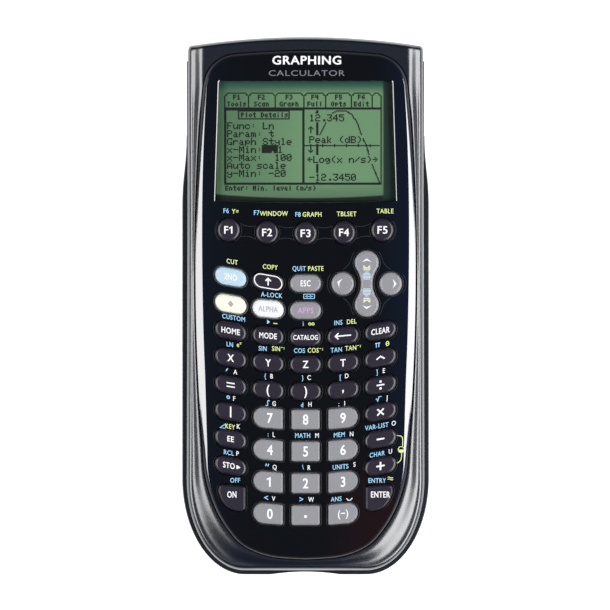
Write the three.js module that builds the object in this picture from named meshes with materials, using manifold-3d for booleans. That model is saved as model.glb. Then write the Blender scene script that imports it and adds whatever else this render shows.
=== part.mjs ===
// A graphing calculator lying on its back with its slide cover stowed under it.
// Millimetres. The face looks along +Z, the display end points along +Y and the width lies along X.
// The origin is on the surface it rests on, below the middle of the body.
import * as THREE from "three";
import { mergeVertices } from "three/addons/utils/BufferGeometryUtils.js";
import Module from "manifold-3d";

const library = await Module();
library.setup();

// ---------------------------------------------------------------- driving dimensions

const GAP = 0.3; // air left between two pieces that touch
const SAME_POINT = 1e-5; // points closer than this are one point
const SMALL_CORNER = 1; // arcs under this radius take two steps

const LENGTH = 185; // slide cover's closed end to the middle of the display end
const FRONT_TOP = 92.6; // where the display end reaches, at its middle
const COVER_END = FRONT_TOP - LENGTH - 0.1; // outer face of the slide cover's closed end

// Plan of the moulded case: a shallow arch at the display end, nearly straight sides, and
// elliptical lower corners that run into a flat lower end.
const CASE = {
  halfWidth: 40.8,
  topHalfWidth: 40.4,
  shoulder: 89.7, // where the display end's arch meets the sides
  topCorner: 1.8,
  leastCorner: 0.5,
  bottom: -90.5,
  cornerX: 20.9,
  cornerY: -59.3,
};

// Plan of the slide cover: widest beside the keypad, stepping in beside the display.
const COVER = {
  halfWidth: 42.6,
  neckHalfWidth: 41.1,
  neckStart: 34, // the side skirts start to taper here
  neckEnd: 60, // and end here
  openEnd: 85,
  floor: 1.6,
  railTop: 8.0,
  skirtTop: 12.6,
  scoopWidth: 24.6, // thumb scoop in the closed end
  scoopDepth: 1.0,
};

// Heights above the resting surface.
const Z = {
  back: COVER.floor + GAP,
  backInside: 3.7,
  split: 10.0, // where the back case ends and the front case begins
  bezelFoot: 18.6, // where the front case's side starts to slope in
  bezelTop: 22.7,
  ledge: 19.6,
  plateUnder: 21.6,
  plateTop: 23.3,
  keyUnder: 20.5,
  flangeTop: 21.3,
  keyTop: 24.9,
  domeTop: 20.2,
  matTop: 18.6,
  matUnder: 17.6,
  boardTop: 17.3,
  boardUnder: 15.7,
};

const SHELL = 1.9; // wall of both case halves
const LOWER_CASE_HALF_WIDTH = 39.4; // the back case narrows below the slide cover's rails
const GROOVE = { depth: 0.85, low: 4.8, high: 6.7, end: 60.5 };
const RAIL = { reach: 0.75, low: 5.15, high: 6.35, start: -54, end: 59.5 };

const BEZEL_SLOPE = [ // [inset from the case's outline, height]: a tight outer edge, then a broad roll
  [0, Z.bezelFoot],
  [0.3, 20.1],
  [0.95, 21.1],
  [2.0, 21.55],
  [3.4, 22.1],
  [4.8, 22.5],
  [6.4, Z.bezelTop],
];

const WINDOW = {
  topHalfWidth: 29.6,
  bottomHalfWidth: 30.9,
  top: 77.2,
  bottom: 36.4,
  sag: 1.6, // twice how far the lower edge bows down
  clearance: 0.25,
  flange: 1.2,
  under: 20.4,
  face: 22.9,
};

const DISPLAY = { halfWidth: 32.3, low: 34.6, high: 80.0, frameTop: 19.3, glassTop: 19.9, margin: 1.6 };

const KEY = {
  holeGap: 0.35, // between a cap and the edge of its hole
  flange: 0.8, // how far the foot reaches past the cap
  rim: 0.45, // width of the rounding round the top
  rimDrop: 0.5,
};

const COLUMN_PITCH = 12.8;
const ROW_ARC = 148; // rows of keys lie on arcs of this radius, with their outer ends up
const FUNCTION_PITCH = 13.14;
const FUNCTION_ARC = 300;
const FUNCTION_ROW = 25.05;
const UPPER_ROW = 7.94;
const ROW_PITCH = 9.23;
const NUMBER_ROW = -38.6;
const NUMBER_PITCH = 10.9;
const CORNER_KEY = { x: 25.2, y: -65.2 };
const CURSOR = { x: 20.9, y: 7.83, reach: 8.2, radius: 3.88 };
const ROCKER = { lobe: 4.15, lobeOffset: 7.17, waist: 2.03, footTop: 20.4, foot: 19.9 };

const PILL = { width: 10.7, height: 5.85 };
const NUMBER_KEY = { width: 9.7, height: 6.75, corner: 0.7 };
const SIDE_NUMBER_KEY = { width: 10.16, height: 6.95, corner: 0.7 };
const FUNCTION_KEY_RADIUS = 3.84;

const CELL = { radius: 5.2, length: 43.3, pitch: 10.8, height: 9.05, low: -60.3 };
const BAY = { halfWidth: 22.2, low: -62.2, high: -12.9, wall: 1.2, roofUnder: 14.55, roofTop: 15.35 };
const DOOR = {
  halfWidth: 24,
  low: -64.5,
  high: -11.2,
  corner: 3,
  thick: 0.8,
  rebate: 1.1,
  travel: 3.5, // it slides this far towards the lower end to free its hooks
};
const DOOR_OPENING = { halfWidth: 21.4, low: -61.2, high: -15.0 };
const BACKUP = { x: 0, y: 8, radius: 8.5, well: 7.2 };
const SCREW_POSTS = [62, 2, -50].flatMap((y) => [[-35.4, y], [35.4, y]]);
const POST = { radius: 2.5, bore: 1.1, headRadius: 2.1, headDepth: 2.6 };

const BOARD = { halfWidth: 32.4, low: -78, high: 88.2 };
const USB = { x: -13, width: 7.7, height: 3.9, low: 81.8, high: 91.0, shell: 0.4, clearance: 0.5 };
const JACK = { x: 13, width: 7, height: 4.6, low: 79.5, high: 89.6, nose: 2.4, bore: 1.3, noseEnd: 91.6 };

// ---------------------------------------------------------------- materials

function plastic(colour, roughness) {
  return new THREE.MeshStandardMaterial({ color: colour, roughness, metalness: 0 });
}

const LOOKS = {
  navy: plastic(0x161f2c, 0.42),
  gloss: plastic(0x0c0d10, 0.12),
  clear: plastic(0xcfe0d6, 0.05),
  green: plastic(0x7f9d78, 0.3),
  rubber: plastic(0x3a3c40, 0.9),
  board: plastic(0x1f5c38, 0.6),
  cell: new THREE.MeshStandardMaterial({ color: 0xb8b9bb, roughness: 0.3, metalness: 0.9 }),
  dark: plastic(0x343040, 0.4),
  grey: plastic(0xa5a5a8, 0.45),
  blue: plastic(0x8cc6e8, 0.4),
  cream: plastic(0xeef0c0, 0.4),
  white: plastic(0xf2f2f2, 0.4),
};

// ---------------------------------------------------------------- making solids

// Points round a closed shape: one step on a straight line, `steps` on a bend, twice that on an arc
// unless the arc is only a small corner.
function trace(shape, steps) {
  const points = shape.curves.flatMap((curve) => {
    if (curve.isLineCurve) return curve.getPoints(1);
    if (curve.isEllipseCurve) return curve.getPoints(curve.xRadius < SMALL_CORNER ? 2 : 2 * steps);
    if (curve.isSplineCurve) return curve.getPoints(2 * (curve.points.length - 1));
    return curve.getPoints(steps);
  });
  return points.filter((point, i) => point.distanceTo(points.at(i - 1)) > SAME_POINT);
}

// The outline moved outwards by `distance`, or inwards where it is negative.
function offset(points, distance) {
  return points.map((point, i) => {
    const before = points[(i + points.length - 1) % points.length];
    const after = points[(i + 1) % points.length];
    const first = new THREE.Vector2().subVectors(point, before).normalize();
    const second = new THREE.Vector2().subVectors(after, point).normalize();
    const normal = new THREE.Vector2(first.y + second.y, -first.x - second.x).normalize();
    const stretch = Math.max(normal.x * first.y - normal.y * first.x, 0.5);
    return point.clone().addScaledVector(normal, distance / stretch);
  });
}

function movedTo(points, { x, y }) {
  return points.map((point) => new THREE.Vector2(point.x + x, point.y + y));
}

// Slides each point along Y in step with its X, so upright sides stay upright.
function slanted(points, slope) {
  return points.map(({ x, y }) => new THREE.Vector2(x, y + slope * x));
}

// A closed skin over outlines that all have the same number of points: [[points, height], ...] upwards.
function loft(layers) {
  const count = layers[0][0].length;
  const positions = layers.flatMap(([points, z]) => points.flatMap((p) => [p.x, p.y, z]));
  const index = [];
  for (let level = 0; level < layers.length - 1; level++) {
    for (let i = 0; i < count; i++) {
      const a = level * count + i;
      const b = level * count + ((i + 1) % count);
      index.push(a, b, b + count, a, b + count, a + count);
    }
  }
  const top = (layers.length - 1) * count;
  for (const [a, b, c] of THREE.ShapeUtils.triangulateShape(layers[0][0], [])) index.push(a, c, b);
  for (const [a, b, c] of THREE.ShapeUtils.triangulateShape(layers.at(-1)[0], [])) {
    index.push(top + a, top + b, top + c);
  }
  const geometry = new THREE.BufferGeometry();
  geometry.setAttribute("position", new THREE.Float32BufferAttribute(positions, 3));
  geometry.setIndex(index);
  return geometry;
}

function prism(points, low, high) {
  return loft([[points, low], [points, high]]);
}

function box([x0, x1], [y0, y1], [z0, z1]) {
  const geometry = new THREE.BoxGeometry(x1 - x0, y1 - y0, z1 - z0);
  return geometry.translate((x0 + x1) / 2, (y0 + y1) / 2, (z0 + z1) / 2);
}

// A cylinder standing on the plan point (x, y).
function post(x, y, radius, [low, high], sides = 16, topRadius = radius) {
  const geometry = new THREE.CylinderGeometry(topRadius, radius, high - low, sides);
  return geometry.rotateX(Math.PI / 2).translate(x, y, (low + high) / 2);
}

// A cylinder lying along Y.
function barrel(x, z, radius, [low, high], sides = 16) {
  return new THREE.CylinderGeometry(radius, radius, high - low, sides).translate(x, (low + high) / 2, z);
}

function solidOf(geometry) {
  const bare = geometry.clone();
  bare.deleteAttribute("normal");
  bare.deleteAttribute("uv");
  const merged = mergeVertices(bare, 1e-4);
  return new library.Manifold(
    new library.Mesh({
      numProp: 3,
      vertProperties: merged.getAttribute("position").array,
      triVerts: new Uint32Array(merged.index.array),
    }),
  );
}

// One body: `parts` joined, then `cuts` taken away.
function shaped(parts, cuts = []) {
  let body = parts.map(solidOf).reduce((whole, part) => whole.add(part));
  if (cuts.length) {
    body = body.subtract(cuts.map(solidOf).reduce((whole, part) => whole.add(part)));
  }
  const mesh = body.getMesh();
  const geometry = new THREE.BufferGeometry();
  geometry.setAttribute("position", new THREE.BufferAttribute(mesh.vertProperties, mesh.numProp));
  geometry.setIndex(new THREE.BufferAttribute(mesh.triVerts, 1));
  return geometry;
}

function named(name, geometry, look) {
  const mesh = new THREE.Mesh(geometry, LOOKS[look]);
  mesh.name = name;
  return mesh;
}

// ---------------------------------------------------------------- outlines

// The body's plan with its straight sides at `half`, drawn `inset` inside.
function caseOutline(inset, half = CASE.halfWidth, topHalf = CASE.topHalfWidth) {
  const side = half - inset;
  const topSide = topHalf - inset;
  const bottom = CASE.bottom + inset;
  const shoulder = CASE.shoulder - inset;
  const corner = Math.max(CASE.topCorner - inset, CASE.leastCorner);
  const archEnd = topSide - corner;
  const archHandle = 2 * (FRONT_TOP - inset) - shoulder;
  const { cornerX, cornerY } = CASE;
  const shape = new THREE.Shape();
  shape.moveTo(-cornerX, bottom);
  shape.lineTo(cornerX, bottom);
  shape.absellipse(cornerX, cornerY, side - cornerX, cornerY - bottom, -Math.PI / 2, 0, false);
  shape.lineTo(topSide, shoulder - corner);
  shape.quadraticCurveTo(topSide, shoulder, archEnd, shoulder);
  shape.quadraticCurveTo(0, archHandle, -archEnd, shoulder);
  shape.quadraticCurveTo(-topSide, shoulder, -topSide, shoulder - corner);
  shape.lineTo(-side, cornerY);
  shape.absellipse(-cornerX, cornerY, side - cornerX, cornerY - bottom, Math.PI, 1.5 * Math.PI, false);
  return trace(shape, 5);
}

function coverOutline() {
  const { cornerX, cornerY } = CASE;
  const { halfWidth, neckHalfWidth, neckStart, neckEnd, openEnd } = COVER;
  const shape = new THREE.Shape();
  shape.moveTo(-cornerX, COVER_END);
  shape.lineTo(cornerX, COVER_END);
  shape.absellipse(cornerX, cornerY, halfWidth - cornerX, cornerY - COVER_END, -Math.PI / 2, 0, false);
  shape.lineTo(halfWidth, neckStart);
  shape.bezierCurveTo(halfWidth, neckStart + 12, neckHalfWidth, neckEnd - 12, neckHalfWidth, neckEnd);
  shape.lineTo(neckHalfWidth, openEnd);
  shape.lineTo(-neckHalfWidth, openEnd);
  shape.lineTo(-neckHalfWidth, neckEnd);
  shape.bezierCurveTo(-neckHalfWidth, neckEnd - 12, -halfWidth, neckStart + 12, -halfWidth, neckStart);
  shape.lineTo(-halfWidth, cornerY);
  shape.absellipse(-cornerX, cornerY, halfWidth - cornerX, cornerY - COVER_END, Math.PI, 1.5 * Math.PI, false);
  return trace(shape, 5);
}

// The face plate's plan: barrel-shaped sides, round upper corners and long diagonal lower corners.
function plateOutline(inset) {
  const lower = [[0, -86.7], [12, -85.7], [21.2, -82.1], [27, -76], [31.5, -68], [34.5, -58]];
  const shape = new THREE.Shape();
  shape.moveTo(...lower[0]);
  shape.splineThru(lower.slice(1).map(([x, y]) => new THREE.Vector2(x, y)));
  shape.quadraticCurveTo(40.9, 8.5, 35.1, 75);
  shape.quadraticCurveTo(34, 84.4, 25.5, 86.4);
  shape.quadraticCurveTo(13, 87.6, 0, 87.7);
  const right = trace(shape, 5);
  const left = right.slice(1, -1).reverse().map(({ x, y }) => new THREE.Vector2(-x, y));
  return offset([...right, ...left], -inset);
}

function windowOutline(grow) {
  const { topHalfWidth, bottomHalfWidth, top, bottom, sag } = WINDOW;
  const shape = new THREE.Shape();
  shape.moveTo(-bottomHalfWidth, bottom);
  shape.quadraticCurveTo(0, bottom - sag, bottomHalfWidth, bottom);
  shape.lineTo(topHalfWidth, top);
  shape.lineTo(-topHalfWidth, top);
  shape.lineTo(-bottomHalfWidth, bottom);
  return offset(trace(shape, 6), grow);
}

function circle(radius, steps = 8) {
  return trace(new THREE.Shape().absarc(0, 0, radius, 0, 2 * Math.PI, false), steps);
}

function pill({ width, height }) {
  const end = height / 2;
  const reach = width / 2 - end;
  const shape = new THREE.Shape();
  shape.absarc(reach, 0, end, -Math.PI / 2, Math.PI / 2, false);
  shape.absarc(-reach, 0, end, Math.PI / 2, 1.5 * Math.PI, false);
  return trace(shape, 3);
}

function roundedRectangle(width, height, corner) {
  const x = width / 2 - corner;
  const y = height / 2 - corner;
  const shape = new THREE.Shape();
  shape.absarc(x, -y, corner, -Math.PI / 2, 0, false);
  shape.absarc(x, y, corner, 0, Math.PI / 2, false);
  shape.absarc(-x, y, corner, Math.PI / 2, Math.PI, false);
  shape.absarc(-x, -y, corner, Math.PI, 1.5 * Math.PI, false);
  return trace(shape, 3);
}

// A number key with one round end: side is -1 where that end points to -X, and 1 where to +X.
function halfRound({ width, height, corner }, side) {
  const end = height / 2;
  const shape = new THREE.Shape();
  shape.absarc(width / 2 - end, 0, end, -Math.PI / 2, Math.PI / 2, false);
  shape.absarc(corner - width / 2, end - corner, corner, Math.PI / 2, Math.PI, false);
  shape.absarc(corner - width / 2, corner - end, corner, Math.PI, 1.5 * Math.PI, false);
  const points = trace(shape, 3).map(({ x, y }) => new THREE.Vector2(side * x, y));
  return side < 0 ? points.reverse() : points;
}

// The key in a lower corner of the keypad, swept along the plate's edge: side is -1 on the left.
function cornerKey(side) {
  const shape = new THREE.Shape();
  shape.moveTo(-4.55, 1.8);
  shape.quadraticCurveTo(-2.8, -4.6, 2.8, -4.65);
  shape.quadraticCurveTo(4.65, -4.6, 4.65, -3.2);
  shape.lineTo(4.65, 2.8);
  shape.quadraticCurveTo(4.65, 3.7, 3.7, 3.75);
  shape.lineTo(-3.2, 4.35);
  shape.quadraticCurveTo(-4.75, 4.2, -4.55, 1.8);
  const points = trace(shape, 4).map(({ x, y }) => new THREE.Vector2(-side * x, y));
  return side > 0 ? points.reverse() : points;
}

// Two round lobes joined by a waist, whose concave sides touch both lobes.
function dumbbell({ lobe, lobeOffset, waist }) {
  const fillet = (waist ** 2 + lobeOffset ** 2 - lobe ** 2) / (2 * (lobe - waist));
  const centre = waist + fillet;
  const meet = Math.atan2(lobeOffset, centre);
  const shape = new THREE.Shape();
  shape.absarc(centre, 0, fillet, Math.PI + meet, Math.PI - meet, true);
  shape.absarc(0, lobeOffset, lobe, -meet, Math.PI + meet, false);
  shape.absarc(-centre, 0, fillet, meet, -meet, true);
  shape.absarc(0, -lobeOffset, lobe, Math.PI - meet, 2 * Math.PI + meet, false);
  return trace(shape, 4);
}

// ---------------------------------------------------------------- the keypad's layout

const keys = [];

function addKey(name, outline, x, y, look) {
  keys.push({ name, outline, x, y, look });
}

// A key in column -2 to 2 of a row whose middle key would be at height y. Oval and number keys slant along
// their row, with their sides upright.
function addRowKey(name, outline, column, y, look, arc = ROW_ARC, pitch = COLUMN_PITCH) {
  const x = column * pitch;
  const slope = arc === ROW_ARC ? x / arc : 0;
  addKey(name, slanted(outline, slope), x, y + x ** 2 / (2 * arc), look);
}

function layOutKeys() {
  for (let column = -2; column <= 2; column++) {
    const name = "key_f" + (column + 3);
    addRowKey(name, circle(FUNCTION_KEY_RADIUS), column, FUNCTION_ROW, "dark", FUNCTION_ARC, FUNCTION_PITCH);
  }
  const ovals = {
    "-2": ["second", "diamond", "home", "x", "equals", "with", "ee", "store"],
    "-1": ["shift", "alpha", "mode", "y", "open_paren"],
    0: ["escape", "apps", "catalog", "z", "close_paren"],
    1: [null, null, "backspace", "t", "comma"],
    2: [null, null, "clear", "power", "divide", "multiply", "minus", "plus"],
  };
  const looks = { second: "blue", diamond: "cream", alpha: "white", escape: "grey", apps: "grey" };
  for (const [column, names] of Object.entries(ovals)) {
    names.forEach((name, row) => {
      if (!name) return;
      addRowKey("key_" + name, pill(PILL), Number(column), UPPER_ROW - row * ROW_PITCH, looks[name] ?? "dark");
    });
  }
  const { width, height, corner } = NUMBER_KEY;
  const numbers = [["7", "8", "9"], ["4", "5", "6"], ["1", "2", "3"], ["0", "point", "negate"]];
  numbers.forEach(([left, middle, right], row) => {
    const y = NUMBER_ROW - row * NUMBER_PITCH;
    addRowKey("key_" + left, halfRound(SIDE_NUMBER_KEY, -1), -1, y, "grey");
    addRowKey("key_" + middle, roundedRectangle(width, height, corner), 0, y, "grey");
    addRowKey("key_" + right, halfRound(SIDE_NUMBER_KEY, 1), 1, y, "grey");
  });
  addKey("key_on", cornerKey(-1), -CORNER_KEY.x, CORNER_KEY.y, "dark");
  addKey("key_enter", cornerKey(1), CORNER_KEY.x, CORNER_KEY.y, "dark");
  addKey("key_left", circle(CURSOR.radius), CURSOR.x - CURSOR.reach, CURSOR.y, "grey");
  addKey("key_right", circle(CURSOR.radius), CURSOR.x + CURSOR.reach, CURSOR.y, "grey");
  addKey("key_rocker", dumbbell(ROCKER), CURSOR.x, CURSOR.y, "grey");
}

// A cap with a wider foot that keeps it under the plate, standing round its own middle.
function keyMesh(key) {
  const { outline } = key;
  const rocks = key.name === "key_rocker";
  const foot = offset(outline, KEY.flange);
  const footUnder = rocks ? ROCKER.foot : Z.keyUnder;
  const footTop = rocks ? ROCKER.footTop : Z.flangeTop;
  const skin = loft([
    [foot, footUnder],
    [foot, footTop],
    [outline, footTop],
    [outline, Z.keyTop - KEY.rimDrop],
    [offset(outline, -KEY.rim), Z.keyTop],
  ]);
  const mesh = named(key.name, skin, key.look);
  mesh.position.set(key.x, key.y, 0);
  return mesh;
}

// ---------------------------------------------------------------- case, plate and display

function frontCase() {
  const outside = loft([
    [caseOutline(0), Z.split + GAP],
    ...BEZEL_SLOPE.map(([inset, z]) => [caseOutline(inset), z]),
  ]);
  const posts = SCREW_POSTS.map(([x, y]) => post(x, y, POST.radius, [Z.split + GAP, Z.ledge + 0.5], 12));
  const seat = prism(plateOutline(-GAP), Z.plateUnder - GAP, Z.bezelTop + 1);
  const opening = prism(plateOutline(1.3), Z.ledge - 1, Z.bezelTop + 1);
  const hollow = prism(caseOutline(SHELL), Z.split - 1, Z.ledge);
  const usbPort = box(
    [USB.x - USB.width / 2 - USB.clearance, USB.x + USB.width / 2 + USB.clearance],
    [BOARD.high, FRONT_TOP + 1],
    [Z.boardUnder - USB.height - USB.clearance, Z.boardUnder + USB.clearance],
  );
  const jackPort = barrel(JACK.x, Z.boardUnder - JACK.height / 2, JACK.nose + USB.clearance, [BOARD.high, FRONT_TOP + 1]);
  const bores = SCREW_POSTS.map(([x, y]) => post(x, y, POST.bore, [Z.split - 1, Z.split + 5], 8));
  const shell = shaped([outside], [seat, opening, hollow, usbPort, jackPort]);
  return named("front_case", shaped([shell, ...posts], bores), "navy");
}

function facePlate() {
  const edge = [[0, Z.plateUnder], [0, 22.35], [0.25, 22.6], [1.3, 23.0], [2.6, Z.plateTop]];
  const slab = loft(edge.map(([inset, z]) => [plateOutline(inset), z]));
  const holes = keys.map((key) =>
    prism(movedTo(offset(key.outline, KEY.holeGap), key), Z.plateUnder - 1, Z.plateTop + 1),
  );
  const view = prism(windowOutline(0), Z.plateUnder - 1, Z.plateTop + 1);
  return named("face_plate", shaped([slab], [...holes, view]), "gloss");
}

// A clear sheet whose wider foot is bonded under the plate.
function displayWindow() {
  const foot = windowOutline(WINDOW.flange);
  const pane = windowOutline(-WINDOW.clearance);
  const footTop = Z.plateUnder - GAP;
  const skin = loft([[foot, WINDOW.under], [foot, footTop], [pane, footTop], [pane, WINDOW.face]]);
  return named("display_window", skin, "clear");
}

function displayModule() {
  const { halfWidth, low, high, frameTop, glassTop, margin } = DISPLAY;
  const frame = box([-halfWidth, halfWidth], [low, high], [Z.boardTop + GAP, frameTop]);
  const across = [margin - halfWidth, halfWidth - margin];
  const glass = box(across, [low + margin, high - margin], [frameTop - 0.5, glassTop]);
  return named("lcd_module", shaped([frame, glass]), "green");
}

function keypadMat() {
  const sheet = prism(plateOutline(5.2), Z.matUnder, Z.matTop);
  const beyond = box([-50, 50], [DISPLAY.low - 3, 100], [Z.matUnder - 1, Z.matTop + 1]);
  const domes = keys.flatMap((key) => {
    const rocks = key.name === "key_rocker";
    const spots = rocks ? [key.y - ROCKER.lobeOffset, key.y + ROCKER.lobeOffset] : [key.y];
    const top = rocks ? ROCKER.foot - GAP : Z.domeTop;
    return spots.map((y) => post(key.x, y, 2.5, [Z.matTop - 0.4, top], 6, 1.6));
  });
  return named("keypad_mat", shaped([shaped([sheet], [beyond]), ...domes]), "rubber");
}

function mainBoard() {
  const board = box([-BOARD.halfWidth, BOARD.halfWidth], [BOARD.low, BOARD.high], [Z.boardUnder, Z.boardTop]);
  const processor = box([-11, 11], [38, 60], [Z.boardUnder - 1.6, Z.boardUnder + 0.2]);
  const memory = box([16, 28], [42, 54], [Z.boardUnder - 1.2, Z.boardUnder + 0.2]);
  const socketLow = Z.boardUnder - USB.height;
  const across = [USB.x - USB.width / 2, USB.x + USB.width / 2];
  const socket = box(across, [USB.low, USB.high], [socketLow, Z.boardUnder + 0.2]);
  const mouth = box(
    [across[0] + USB.shell, across[1] - USB.shell],
    [USB.low + 1.5, USB.high + 1],
    [socketLow + USB.shell, Z.boardUnder - USB.shell],
  );
  const tongue = box([USB.x - 2.3, USB.x + 2.3], [USB.low, USB.high - 1.2], [socketLow + 1.3, socketLow + 2.1]);
  const jackMiddle = Z.boardUnder - JACK.height / 2;
  const jackAcross = [JACK.x - JACK.width / 2, JACK.x + JACK.width / 2];
  const jack = box(jackAcross, [JACK.low, JACK.high], [Z.boardUnder - JACK.height, Z.boardUnder + 0.2]);
  const nose = barrel(JACK.x, jackMiddle, JACK.nose, [JACK.high - 1, JACK.noseEnd]);
  const bore = barrel(JACK.x, jackMiddle, JACK.bore, [JACK.low + 1, JACK.noseEnd + 1], 12);
  const carrier = shaped([board, processor, memory, socket, jack, nose], [mouth, bore]);
  return named("main_board", shaped([carrier, tongue]), "board");
}

// ---------------------------------------------------------------- back, power and cover

function backCase() {
  const lowerHalf = LOWER_CASE_HALF_WIDTH;
  const lowerTop = lowerHalf - 0.4;
  const narrow = prism(caseOutline(0, lowerHalf, lowerTop), Z.back, COVER.railTop + 1);
  const wide = prism(caseOutline(0), COVER.railTop + GAP, Z.split);
  const hollow = prism(caseOutline(SHELL, lowerHalf, lowerTop), Z.backInside, Z.split + 1);
  const bay = box(
    [-BAY.halfWidth - BAY.wall, BAY.halfWidth + BAY.wall],
    [BAY.low - BAY.wall, BAY.high + BAY.wall],
    [Z.backInside - 0.5, BAY.roofTop],
  );
  const bayInside = box([-BAY.halfWidth, BAY.halfWidth], [BAY.low, BAY.high], [Z.backInside, BAY.roofUnder]);
  const doorWay = box(
    [-DOOR_OPENING.halfWidth, DOOR_OPENING.halfWidth],
    [DOOR_OPENING.low, DOOR_OPENING.high],
    [Z.back - 1, Z.backInside + 1],
  );
  const rebateLow = DOOR.low - GAP - DOOR.travel;
  const rebateHigh = DOOR.high + GAP;
  const rebate = prism(
    movedTo(roundedRectangle(2 * DOOR.halfWidth + 2 * GAP, rebateHigh - rebateLow, DOOR.corner), {
      x: 0,
      y: (rebateLow + rebateHigh) / 2,
    }),
    Z.back - 1,
    Z.back + DOOR.rebate,
  );
  const grooves = [-1, 1].map((side) => {
    const inner = side * (lowerHalf - GROOVE.depth);
    const outer = side * (lowerHalf + 3);
    return box([Math.min(inner, outer), Math.max(inner, outer)], [-100, GROOVE.end], [GROOVE.low, GROOVE.high]);
  });
  const posts = SCREW_POSTS.map(([x, y]) => post(x, y, POST.radius, [Z.backInside - 0.5, Z.split], 12));
  const bores = SCREW_POSTS.flatMap(([x, y]) => [
    post(x, y, POST.bore, [Z.back - 1, Z.split + 1], 8),
    post(x, y, POST.headRadius, [Z.back - 1, Z.back + POST.headDepth], 12),
  ]);
  const cellSeat = post(BACKUP.x, BACKUP.y, BACKUP.radius + 1.5, [Z.backInside - 0.5, Z.back + 5]);
  const cellRebate = post(BACKUP.x, BACKUP.y, BACKUP.radius + GAP, [Z.back - 1, Z.back + DOOR.rebate], 24);
  const cellWell = post(BACKUP.x, BACKUP.y, BACKUP.well, [Z.back - 1, Z.back + 4], 20);
  const tray = shaped([narrow, wide], [hollow]);
  const body = shaped(
    [tray, bay, cellSeat, ...posts],
    [bayInside, doorWay, rebate, cellRebate, cellWell, ...grooves, ...bores],
  );
  return named("back_case", body, "navy");
}

function batteryDoor() {
  const slab = prism(
    movedTo(roundedRectangle(2 * DOOR.halfWidth, DOOR.high - DOOR.low, DOOR.corner), {
      x: 0,
      y: (DOOR.low + DOOR.high) / 2,
    }),
    Z.back,
    Z.back + DOOR.thick,
  );
  const hookTop = Z.backInside + GAP + 0.8;
  const hooks = [-CELL.pitch, CELL.pitch].flatMap((x) => [
    box([x - 0.9, x + 0.9], [DOOR_OPENING.high - 1.4, DOOR_OPENING.high - GAP], [Z.back + 0.4, hookTop]),
    box([x - 0.9, x + 0.9], [DOOR_OPENING.high - 1.4, BAY.high - GAP], [Z.backInside + GAP, hookTop]),
  ]);
  return named("battery_door", shaped([slab, ...hooks]), "navy");
}

// Four cells side by side, turned end for end in turn, joined by the contact strips at both ends.
function batterySet() {
  const high = CELL.low + CELL.length;
  const parts = [-1.5, -0.5, 0.5, 1.5].flatMap((place, i) => {
    const x = place * CELL.pitch;
    const nub = i % 2 ? [high - 0.5, high + 1.6] : [CELL.low - 1.2, CELL.low + 0.5];
    const spring = i % 2 ? [CELL.low - 1.2, CELL.low + 0.5] : [high - 0.5, high + 1.6];
    return [
      barrel(x, CELL.height, CELL.radius, [CELL.low, high], 16),
      barrel(x, CELL.height, 1.9, nub, 8),
      barrel(x, CELL.height, 2.6, spring, 8),
    ];
  });
  const reach = 2 * CELL.pitch - 0.4;
  const lowStrip = box([-reach, reach], [CELL.low - 1.5, CELL.low - 0.9], [5.6, 13.2]);
  const highStrip = box([-reach, reach], [high + 1.3, high + 1.9], [5.6, 13.2]);
  return named("battery_set", shaped([...parts, lowStrip, highStrip]), "cell");
}

function backupCellCover() {
  const disc = post(BACKUP.x, BACKUP.y, BACKUP.radius, [Z.back, Z.back + DOOR.thick], 24);
  const plug = post(BACKUP.x, BACKUP.y, BACKUP.well - GAP, [Z.back + 0.4, Z.back + 1.9], 20);
  const screwHole = post(BACKUP.x, BACKUP.y + 4.6, POST.bore, [Z.back - 1, Z.back + 3], 8);
  return named("backup_cell_cover", shaped([disc, plug], [screwHole]), "navy");
}

// A tray open at the display end, with side skirts, and rails that run in the back case's grooves.
function slideCover() {
  const block = prism(coverOutline(), 0, COVER.skirtTop);
  const clearance = GAP + 0.05;
  const overRails = prism(caseOutline(-clearance), COVER.railTop, COVER.skirtTop + 1);
  const lowerHalf = LOWER_CASE_HALF_WIDTH;
  const betweenRails = prism(caseOutline(-GAP, lowerHalf, lowerHalf), COVER.floor, COVER.railTop + 1);
  const aboveNeck = box([-60, 60], [COVER.neckEnd - 1, 100], [COVER.railTop, COVER.skirtTop + 1]);
  const scoopRadius = ((COVER.scoopWidth / 2) ** 2 + COVER.scoopDepth ** 2) / (2 * COVER.scoopDepth);
  const scoop = post(0, COVER_END + COVER.scoopDepth - scoopRadius, scoopRadius, [-1, COVER.skirtTop + 1], 96);
  const rails = [-1, 1].map((side) => {
    const inner = side * (lowerHalf + GAP - RAIL.reach);
    const outer = side * (lowerHalf + GAP + 0.5);
    return box([Math.min(inner, outer), Math.max(inner, outer)], [RAIL.start, RAIL.end], [RAIL.low, RAIL.high]);
  });
  const tray = shaped([block], [overRails, betweenRails, aboveNeck, scoop]);
  return named("slide_cover", shaped([tray, ...rails]), "navy");
}

// ---------------------------------------------------------------- the assembly

layOutKeys();

const calculator = new THREE.Group();
calculator.add(slideCover(), backCase(), batteryDoor(), batterySet(), backupCellCover());
calculator.add(mainBoard(), keypadMat(), displayModule(), displayWindow());
calculator.add(frontCase(), facePlate());
calculator.add(...keys.map(keyMesh));

export default calculator;
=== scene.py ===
"""A graphing calculator lying on its back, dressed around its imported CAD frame. Plan sizes are in mm."""
import math

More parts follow.
